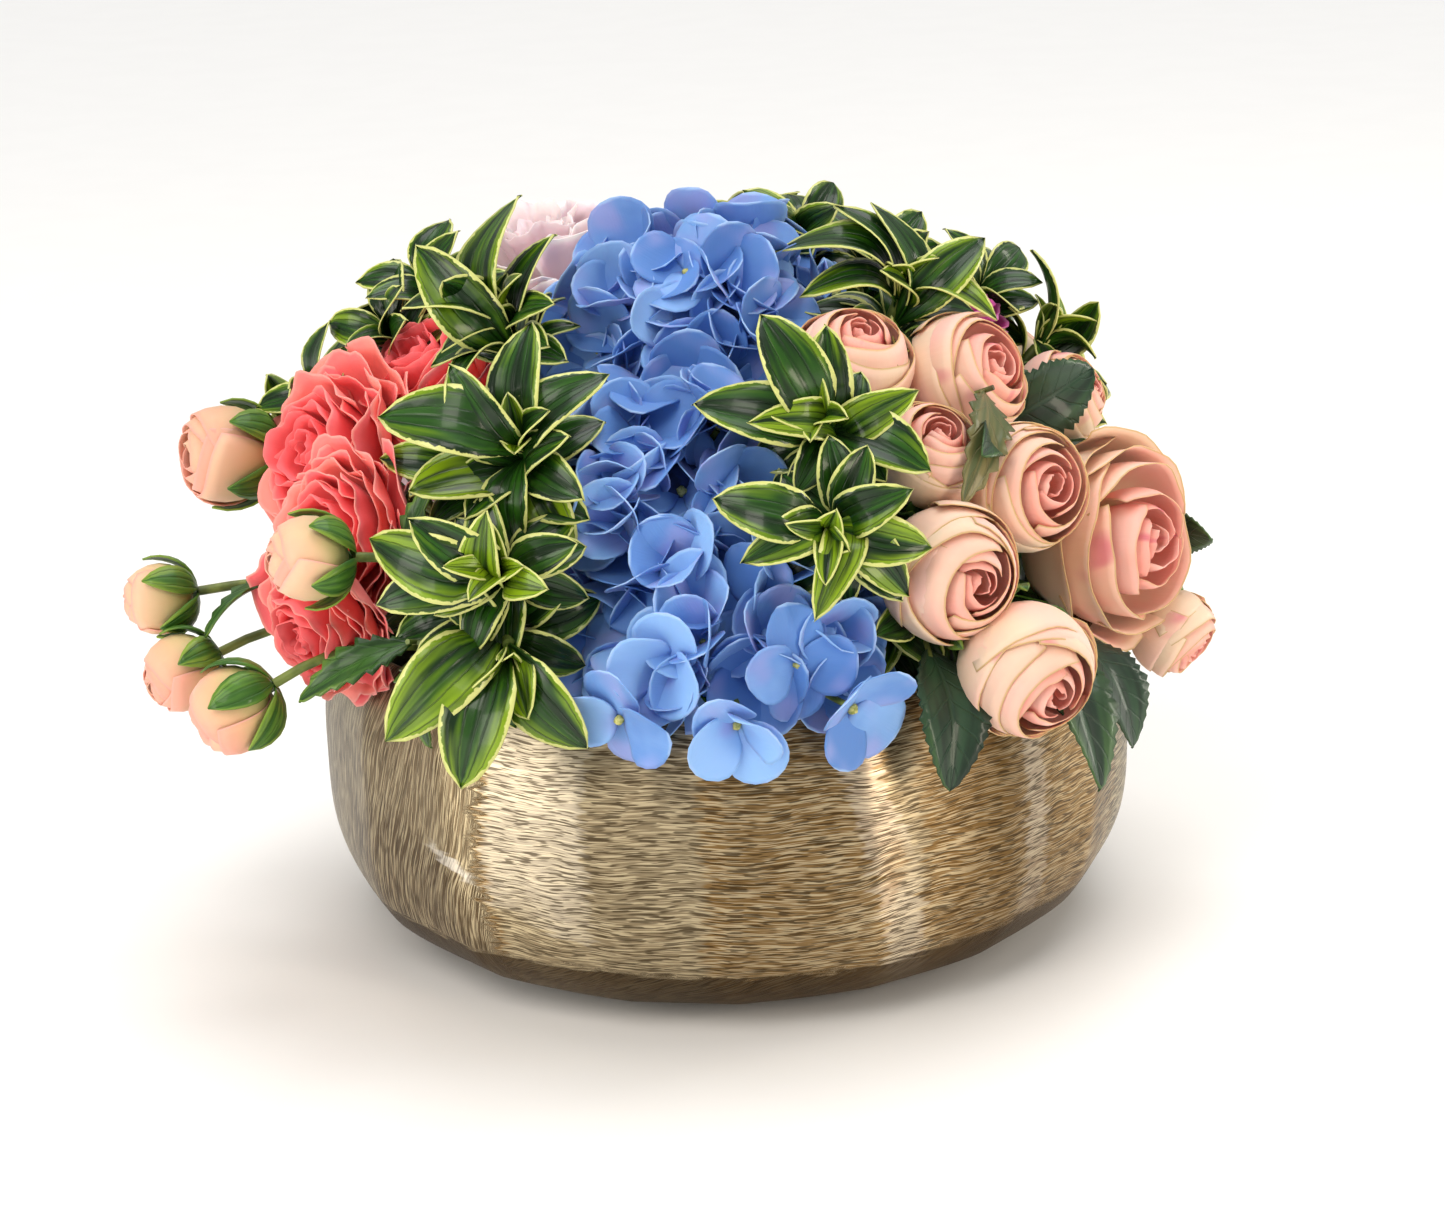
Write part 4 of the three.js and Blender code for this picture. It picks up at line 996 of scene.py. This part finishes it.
OPEN_ROSE_ROWS = [
    (3, 72, [(0.15, -0.88), (1.02, -0.92), (1.18, -0.1), (1.1, 0.26)], rims(0.0, 0.04, roll=0.12, loose=0.08)),
    (3, 74, [(0.15, -0.8), (0.96, -0.75), (1.12, 0.1), (0.97, 0.5)], rims(0.08, 0.035, roll=0.1, loose=0.07)),
    (3, 72, [(0.12, -0.7), (0.88, -0.5), (1.0, 0.32), (0.76, 0.66)], rims(0.12, 0.025, roll=0.06, loose=0.05)),
    (3, 68, [(0.1, -0.4), (0.6, -0.1), (0.7, 0.45), (0.5, 0.72)], rims(0.1, 0.02, lap=0.12, loose=0.04)),
    (3, 66, [(0.08, -0.1), (0.38, 0.05), (0.48, 0.45), (0.3, 0.74)], rims(0.0, 0.015, lap=0.18, loose=0.03)),
    (2, 90, [(0.05, 0.1), (0.14, 0.2), (0.24, 0.4), (0.12, 0.72)], rims(0.0, 0.015, lap=0.3)),
]
BLUSH_ROWS = [
    (5, 46, [(0.1, -0.5), (0.7, -0.5), (0.95, 0.0), (1.06, 0.3)], {"loose": 0.07}),
    (5, 46, [(0.1, -0.45), (0.55, -0.4), (0.74, 0.2), (0.84, 0.58)], {"loose": 0.16}),
    (4, 50, [(0.1, -0.4), (0.4, -0.2), (0.54, 0.3), (0.6, 0.72)], {"loose": 0.14}),
    (4, 54, [(0.08, -0.3), (0.3, -0.1), (0.34, 0.4), (0.4, 0.74)], {"loose": 0.1}),
    (3, 60, [(0.05, -0.2), (0.2, 0.0), (0.22, 0.3), (0.2, 0.66)], {}),
]
MAGENTA_ROWS = [
    (5, 44, [(0.1, -0.6), (0.6, -0.6), (0.85, -0.1), (1.02, 0.14)], {}),
    (4, 50, [(0.1, -0.5), (0.5, -0.4), (0.6, 0.1), (0.7, 0.44)], {}),
    (4, 50, [(0.05, -0.3), (0.3, -0.1), (0.34, 0.3), (0.36, 0.6)], {}),
]


def bud_rows(opened):
    """An egg of wrapped petals, whose mouth opens from 0 to 1."""
    return [
        (3, 80, [(0.1, -0.86), (0.95, -0.86), (1.2, 0.1), (0.66 + 0.26 * opened, 0.74)], {"roll": 0.04 * opened}),
        (3, 80, [(0.1, -0.8), (0.9, -0.8), (1.14, 0.3), (0.45 + 0.3 * opened, 0.88)], {}),
        (3, 80, [(0.1, -0.6), (0.7, -0.6), (0.95, 0.5), (0.25 + 0.3 * opened, 0.95)], {}),
        (2, 110, [(0.1, -0.4), (0.5, -0.4), (0.6, 0.6), (0.12 + 0.2 * opened, 0.94)], {}),
    ]


def sepals(name, rng, at, facing, radius, reach, material, half_span):
    """Five pointed sepals that hug the underside of a bud or rose."""
    sheets = Sheets()
    matrix = standing(at, facing, rng.uniform(0, 6))
    for k in range(5):
        tip = reach + rng.uniform(-0.15, 0.15)
        out = 1.1 + rng.uniform(0, 0.05)
        way = [(0.03, -1.02), (0.85, -1.1), (1.26, -0.5 + tip * 0.4), (out, tip)]
        azimuth, span = 2 * math.pi * k / 5, math.radians(half_span)
        grid = wrapped_petal(rng, azimuth, span, way, drop=0.0, point=True, high=9, round_=7)
        sheets.add(moved(grid * radius, matrix), rng.uniform(0, 0.8))
    return sheets.finish(name, material, 0.7)


def petal_bloom(name, spot, rows, material, seed, thick=0.45, **common):
    """A bloom's petals at a spot: middle, way it faces, radius."""
    rng = np.random.default_rng(seed)
    sheets = Sheets()
    layered(sheets, rng, *spot, rows, **common)
    return sheets.finish(name + "_petals", material, thick)


# how far the fullest blooms reach past the radius of their table, and how wide the hearts of the roses are, in turn
FULL_BLOOMS = {"ranunculus_upper": 1.18, "blush_upper": 1.12}
MOUTHS = (0.85, 1.15, 0.95, 1.25)
for k, (name, (at, facing, radius)) in enumerate(RANUNCULUS.items()):
    spot = (at, facing, radius * FULL_BLOOMS.get(name, 1.04))
    shape = {"lap": 0.05, "drop": 0.14, "waves": 4, "high": 7, "round_": 19}
    bloom = petal_bloom(name, spot, ranunculus_rows(), CORAL, 60 + k, 0.4, **shape)
    dress(name, [bloom], "petal_coral")
for k, (name, (at, facing, radius, _, opened)) in enumerate(BUDS.items()):
    shape = {"lap": 0.05, "drop": 0.15, "ruffle": 0.01}
    bloom = petal_bloom(name, (at, facing, radius), bud_rows(opened), CREAM_BUD, 80 + k, **shape)
    dress(name, [bloom], "petal_bud")
for k, (name, (at, facing, radius, _)) in enumerate(ROSES.items()):
    rows = OPEN_ROSE_ROWS if name == "rose_large" else rose_rows(MOUTHS[k % len(MOUTHS)])
    shape = {"lap": 0.035, "drop": 0.12, "high": 10, "round_": 17}
    bloom = petal_bloom(name, (at, facing, radius), rows, PEACH, 100 + k, 0.35, **shape)
    green = sepals(name + "_sepals", np.random.default_rng(130 + k), at, facing, radius, -0.35, STALK_LEAF, 20)
    dress(name, [bloom, green], "petal_peach")
for k, (name, (at, facing, radius)) in enumerate(LOOSE.items()):
    blush = name.startswith("blush")
    rows, material, slot = (BLUSH_ROWS, BLUSH, "petal_blush") if blush else (MAGENTA_ROWS, MAGENTA, "petal_magenta")
    spot = (at, facing, radius * FULL_BLOOMS.get(name, 0.96))
    shape = {"lap": 0.04, "drop": 0.14, "ruffle": 0.07, "waves": 4, "roll": 0.06}
    bloom = petal_bloom(name, spot, rows, material, 150 + k, **shape)
    dress(name, [bloom], slot)
    dress_stem(name, at, facing, radius, 1.8)


# ------------------------------------------------------------------ stalks with their leaves
def stalked_leaf(sheets, rng, start, root, tip, width, teeth, tooth):
    """A toothed blade and the path of the little stalk that holds it."""
    face = Vector((tip[0], tip[1], 60)).normalized()
    back = Vector(root) + (start - Vector(root)).normalized() * 4
    grid = leaf_blade(rng, back, tip, width, face, rows=31, columns=7, teeth=teeth, tooth=tooth, broad=0.72)
    sheets.add(grid, rng.uniform(0, 0.7))
    return ([start, (start + Vector(root)) / 2 + Vector((0, 0, 1.5)), Vector(root)], 1.1, 1.0)


def make_ranunculus_stalks():
    """Each bloom's stalk, with the buds' stalks and calyxes and the toothed leaves that grow from it."""
    for k, (name, (at, facing, radius)) in enumerate(RANUNCULUS.items()):
        rng = np.random.default_rng(170 + k)
        main = stem_path(base_of(at, facing, radius, 0.4), facing)
        paths, leaves, parts = [(main, 1.9, 1.8)], Sheets(), []
        for bud, (spot, looks, size, on, _) in BUDS.items():
            if on == name:
                paths.append((branch_path(main, base_of(spot, looks, size, 1.05), looks), 1.6, 1.8))
                parts.append(sepals(bud + "_sepals", rng, spot, looks, size, 0.2, SEPAL, 40))
        for on, root, tip, width in STALK_LEAVES:
            if on == name:
                paths.append(stalked_leaf(leaves, rng, main[2], root, tip, width * 0.75, 7, 0.5))
        if leaves.total:
            parts.append(leaves.finish(name + "_leaves", STALK_LEAF, 0.7))
        dress(name + "_stalks", [stems(name + "_paths", paths, STEM_GREEN), *parts], "stalk_green")


# root, tip and width of a toothed leaf that hangs between the roses
OLIVE_LEAF = (100, -84, 222), (88, -126, 194), 17


def make_rose_sprays():
    """Four woody sprays: a stem for the first rose of each, from which the others branch, and toothed leaves."""
    for index in (1, 2, 3, 4):
        rng = np.random.default_rng(190 + index)
        carried = {name: spot for name, spot in ROSES.items() if spot[3] == index}
        paths, leaves, main = [], Sheets(), None
        for name, (at, facing, radius, _) in carried.items():
            end = base_of(at, facing, radius, 0.8)
            path = branch_path(main, end, facing) if main else stem_path(end, facing)
            main = main or path
            paths.append((path, 1.7, 1.6))
            for on, root, tip, width in ROSE_LEAVES:
                if on == name:
                    paths.append(stalked_leaf(leaves, rng, path[-5], root, tip, width * 1.25, 14, 0.22))
        parts = [stems("spray_paths", paths, STEM_WOODY)]
        if leaves.total:
            parts.append(leaves.finish("spray_leaves", ROSE_LEAF, 0.7))
        if index == 1:
            olive = Sheets()
            paths = [stalked_leaf(olive, rng, main[-4], *OLIVE_LEAF, 8, 0.5)]
            parts += [olive.finish("olive_leaf", OLIVE, 0.7), stems("olive_stalk", paths, STEM_WOODY)]
        dress("rose_spray_%d" % index, parts, "stalk_green")


make_ranunculus_stalks()
make_rose_sprays()


# ------------------------------------------------------------------ cream-edged sprigs
def all_sprigs():
    """Every sprig of the tables: name, crown, ways to its leaf tips, where its stem leaves the foam, way it arrives."""
    yield from ((name, *spot) for name, spot in SPRIGS.items())
    for name, (like, turn, crown, leaves_at, arriving) in BACK_SPRIGS.items():
        spin = Matrix.Rotation(math.radians(turn), 3, "Z")
        yield name, crown, [tuple(spin @ Vector(p)) for p in SPRIGS[like][1][:4]], leaves_at, arriving


def make_sprigs():
    """Each sprig: its longest leaves as the table has them, a darker tier below, and four young leaves in its heart."""
    for k, (name, crown, leaves, leaves_at, arriving) in enumerate(all_sprigs()):
        rng = np.random.default_rng(220 + k)
        crown = Vector(crown)
        path = stem_path(crown, arriving or (crown - Vector(FOAM["centre"])), leaves_at)
        axis = (crown - path[-4]).normalized()
        face = Vector((crown.x, crown.y, (crown.z - 90) * 0.5)).normalized() + axis * 0.3
        sheets = Sheets()
        for i, leaf in enumerate(leaves):
            way = Vector(leaf) * rng.uniform(0.84, 0.97)
            root = crown - axis * (2 + 5 * (i % 3))
            shape = {"fold": rng.uniform(0.1, 0.4), "arch": rng.uniform(0.06, 0.28), "droop": rng.uniform(0, 0.35)}
            grid = leaf_blade(rng, root, crown + way, 3 + way.length * 0.43, face, broad=SPRIG_LEAF, **shape)
            sheets.add(grid, rng.uniform(0, 0.95))
        for i in range(9):
            turn = Matrix.Rotation(2.4 * i + rng.uniform(-0.3, 0.3), 3, axis)
            root = crown - axis * rng.uniform(9, 20)
            way = turn @ axis.orthogonal().normalized() + axis * rng.uniform(0.1, 0.5)
            way = way.normalized() * rng.uniform(26, 36)
            if blooms_near(root + way, -2):
                continue
            width = 2 + way.length * 0.44
            grid = leaf_blade(rng, root, root + way, width, face, fold=0.3, arch=0.16, broad=SPRIG_LEAF)
            sheets.add(grid, rng.uniform(0, 0.35))
        mean = sum((Vector(p).normalized() for p in leaves), Vector()).normalized() + axis
        for i in range(4):
            turn = Matrix.Rotation(1.57 * i + rng.uniform(0, 1), 3, mean)
            side = turn @ mean.orthogonal().normalized()
            tip = crown + (mean.normalized() + side * 0.6) * rng.uniform(13, 23)
            width = rng.uniform(8, 12)
            grid = leaf_blade(rng, crown - axis * 2, tip, width, mean - side, fold=0.5, broad=SPRIG_LEAF)
            sheets.add(grid, rng.uniform(0.4, 1))
        blades = sheets.finish(name + "_leaves", VARIEGATED, 0.6)
        dress(name, [blades, stems(name + "_main", [(path, 1.5, 2.4)], STEM_GREEN)], "variegated_leaf")


make_sprigs()


# ------------------------------------------------------------------ greens that fill the mouth of the bowl
# crowns of the shorter sprigs behind and between the flowers
SMALL_SPRIGS = [
    (-122, 22, 226), (-108, 34, 238), (-150, 24, 200), (36, 22, 256), (62, 20, 246), (104, 24, 232),
    (-112, 70, 204), (132, 12, 190), (20, 76, 240), (-60, 108, 200), (60, 112, 196), (-140, 66, 174), (-92, -64, 196),
    (-88, -98, 150), (60, -112, 148),
]
TUFTS, TUFT_FORMS, LONG_LEAVES, RIM_LEAVES = 200, 5, 90, 26


def make_tufts(rng):
    """Short dark leaves in threes, spread in an even spiral over the foam and the ring between it and the bowl."""
    forms = []
    for k in range(TUFT_FORMS):
        sheets = Sheets()
        for i in range(3):
            a = 2.1 * i + rng.uniform(-0.4, 0.4)
            tip = (16 * math.cos(a), 16 * math.sin(a), rng.uniform(6, 16))
            sheets.add(leaf_blade(rng, (0, 0, -1), tip, 9, (0, 0, 1), rows=7, columns=5), rng.uniform(0, 1))
        forms.append(sheets.finish("filler_%d" % k, FILLER_LEAF, 0.6))
    places = []
    for i in range(TUFTS):
        r = 120 * math.sqrt((i + 0.5) / TUFTS)
        share = min(r / FOAM["crown"], 1)
        z = FOAM["centre"][2] + FOAM["rise"] * math.sqrt(1 - share**2) + (6 if share == 1 else 0)
        a = GOLDEN_ANGLE * i
        out = Vector((math.cos(a) * share, math.sin(a) * share, 1.1 - 0.6 * share))
        lean = out + Vector(rng.uniform(-0.3, 0.3, 3))
        matrix = standing(Vector((r * math.cos(a), r * math.sin(a), z)), lean, rng.uniform(0, 6))
        places.append((matrix, rng.uniform(0.8, 1.2), int(rng.integers(TUFT_FORMS))))
    stock = shelf("filler_forms", forms)
    short = set_out("filler_short", stock, places, FILLER_LEAF)
    clear_shelf(stock)
    return short


def make_filler():
    """Tufts over the foam, and longer leaves between the flowers and round the rim, so that no foam shows."""
    rng = np.random.default_rng(300)
    centre = Vector(FOAM["centre"])
    short = make_tufts(rng)
    sheets = Sheets()
    for i in range(LONG_LEAVES):
        out = spiral(i, LONG_LEAVES, 0.95)
        root = centre + Vector((out.x * 68, out.y * 68, out.z * 50))
        tip = root + out * rng.uniform(46, 66) + Vector(rng.uniform(-16, 16, 3))
        tip.z = max(tip.z, BOWL["rim_z"] + 6)
        if blooms_near(tip, 2):
            tip = root + (tip - root) * 0.7
        face = UP + Vector((out.x, out.y, 0)) * 0.5 + Vector(rng.uniform(-0.3, 0.3, 3))
        width = (tip - root).length * 0.36
        grid = leaf_blade(rng, root, tip, width, face, rows=11, columns=5, arch=0.15, droop=0.15)
        sheets.add(grid, rng.uniform(0, 1))
    for i in range(RIM_LEAVES):
        a = 2 * math.pi * (i + rng.uniform(-0.3, 0.3)) / RIM_LEAVES
        out = Vector((math.cos(a), math.sin(a), 0))
        root = centre + out * 66 + Vector((0, 0, 18))
        tip = centre + out * rng.uniform(134, 152) + Vector((0, 0, rng.uniform(27, 34)))
        width = rng.uniform(20, 28)
        grid = leaf_blade(rng, root, tip, width, UP + out * 0.3, rows=13, columns=5, arch=0.1, droop=0.04)
        sheets.add(grid, rng.uniform(0, 0.8))
    add_greens("filler_greens", [short, sheets.finish("filler_long", FILLER_LEAF, 0.5)])


def make_small_sprigs():
    """Shorter sprigs of the same cream-edged plant, darker, that close the gaps behind and between the flowers."""
    rng = np.random.default_rng(330)
    sheets, paths = Sheets(), []
    shape = {"fold": 0.25, "rows": 11, "columns": 5, "arch": 0.16, "broad": SPRIG_LEAF}
    for crown in SMALL_SPRIGS:
        crown = Vector(crown)
        path = stem_path(crown, crown - Vector(FOAM["centre"]))
        paths.append((path, 1.4, 1.8))
        axis = (crown - path[-4]).normalized()
        outward = Vector((crown.x * 0.6, -90 if crown.y < 65 else 90, 50)).normalized()
        for i in range(13):
            turn = Matrix.Rotation(2.4 * i + rng.uniform(-0.3, 0.3), 3, axis)
            root = crown - axis * (1.8 * i)
            way = turn @ axis.orthogonal().normalized() + axis * (1.1 - 0.07 * i)
            way = way.normalized() * rng.uniform(26, 36)
            if blooms_near(root + way, -3):
                continue
            face = outward + axis * 0.4 + Vector(rng.uniform(-0.3, 0.3, 3))
            sheets.add(leaf_blade(rng, root, root + way, 2 + way.length * 0.44, face, **shape), rng.uniform(0, 0.6))
    blades = sheets.finish("small_sprig_leaves", VARIEGATED, 0.5)
    add_greens("small_sprigs", [blades, stems("small_sprig_stems", paths, STEM_GREEN, 8)])


make_filler()
make_small_sprigs()


# ------------------------------------------------------------------ floor, lights and camera
def make_stage():
    """A plain pale floor that runs out of sight, under an even white sky."""
    mesh = bpy.data.meshes.new("floor")
    half = 9  # m
    mesh.from_pydata([(-half, -half, 0), (half, -half, 0), (half, half, 0), (-half, half, 0)], [], [(0, 1, 2, 3)])
    mesh.materials.append(mottled("pale_floor", "#f5f4f2", "#f6f5f3", 60, 0.8, 0.001))
    floor = in_scene("floor", mesh)
    world = bpy.context.scene.world or bpy.data.worlds.new("studio")
    bpy.context.scene.world = world
    world.use_nodes = True
    fill(world.node_tree.nodes["Background"], {"Color": (1, 1, 1, 1), "Strength": 0.4})


def lamp(name, at, aim, width, height, power, tint):
    """A soft rectangular lamp; places in metres, power in watts."""
    light = bpy.data.lights.new(name, "AREA")
    light.shape, light.size, light.size_y = "RECTANGLE", width, height
    light.energy, light.color = power, paint(tint)[:3]
    made = in_scene(name, light)
    look = (Vector(aim) - Vector(at)).to_track_quat("-Z", "Y")
    made.matrix_world = Matrix.Translation(at) @ look.to_matrix().to_4x4()
    made.visible_camera = False


def make_lights():
    """A soft key from the upper left, tall windows at the sides that draw upright bands on the bowl, and a wide sun
    that keeps the floor evenly pale."""
    lamp("key", (-0.8, -1.4, 1.9), (0, 0, 0.12), 1.1, 1.1, 20, "#fff8f0")
    away, rise, height = 1.6, 0.45, 0.95
    for name, azimuth, width, power, tint in (
        ("window_left", -60, 0.8, 12, "#fdf8ee"),
        ("window_right", 47, 0.3, 9.5, "#fff0dc"),
        ("window_far_right", 108, 0.25, 7, "#fbf7e8"),
    ):
        a = math.radians(azimuth)
        lamp(name, (away * math.sin(a), -away * math.cos(a), rise), (0, 0, 0.1), width, height, power, tint)
    data = bpy.data.lights.new("sky", "SUN")
    data.energy, data.angle = 1.9, 0.9
    in_scene("sky", data).matrix_world = Vector((0.15, 0.25, 1)).to_track_quat("Z", "Y").to_matrix().to_4x4()


FOCAL_PX, FRAME_PX = 3189, 1445  # focal length and frame width in the same pixels


def make_camera():
    """Looks at the middle of the arrangement from 1.25 m, 18 degrees above, rolled by 2.49 degrees."""
    distance, rise, roll = 1.25, math.radians(18), math.radians(-2.49)
    target = Vector((0, 0, 0.1168))
    back = Vector((0, -math.cos(rise), math.sin(rise)))
    right, up = Vector((1, 0, 0)), Vector((0, math.sin(rise), math.cos(rise)))
    right, up = math.cos(roll) * right + math.sin(roll) * up, -math.sin(roll) * right + math.cos(roll) * up
    data = bpy.data.cameras.new("camera")
    data.sensor_width, data.lens = 36, FOCAL_PX / FRAME_PX * 36
    data.clip_start, data.clip_end = 0.01, 60
    camera = in_scene("camera", data)
    camera.matrix_world = Matrix.Translation(target + back * distance) @ Matrix((right, up, back)).transposed().to_4x4()
    bpy.context.scene.camera = camera


make_stage()
make_lights()
make_camera()
bpy.context.scene.view_settings.view_transform = "Standard"
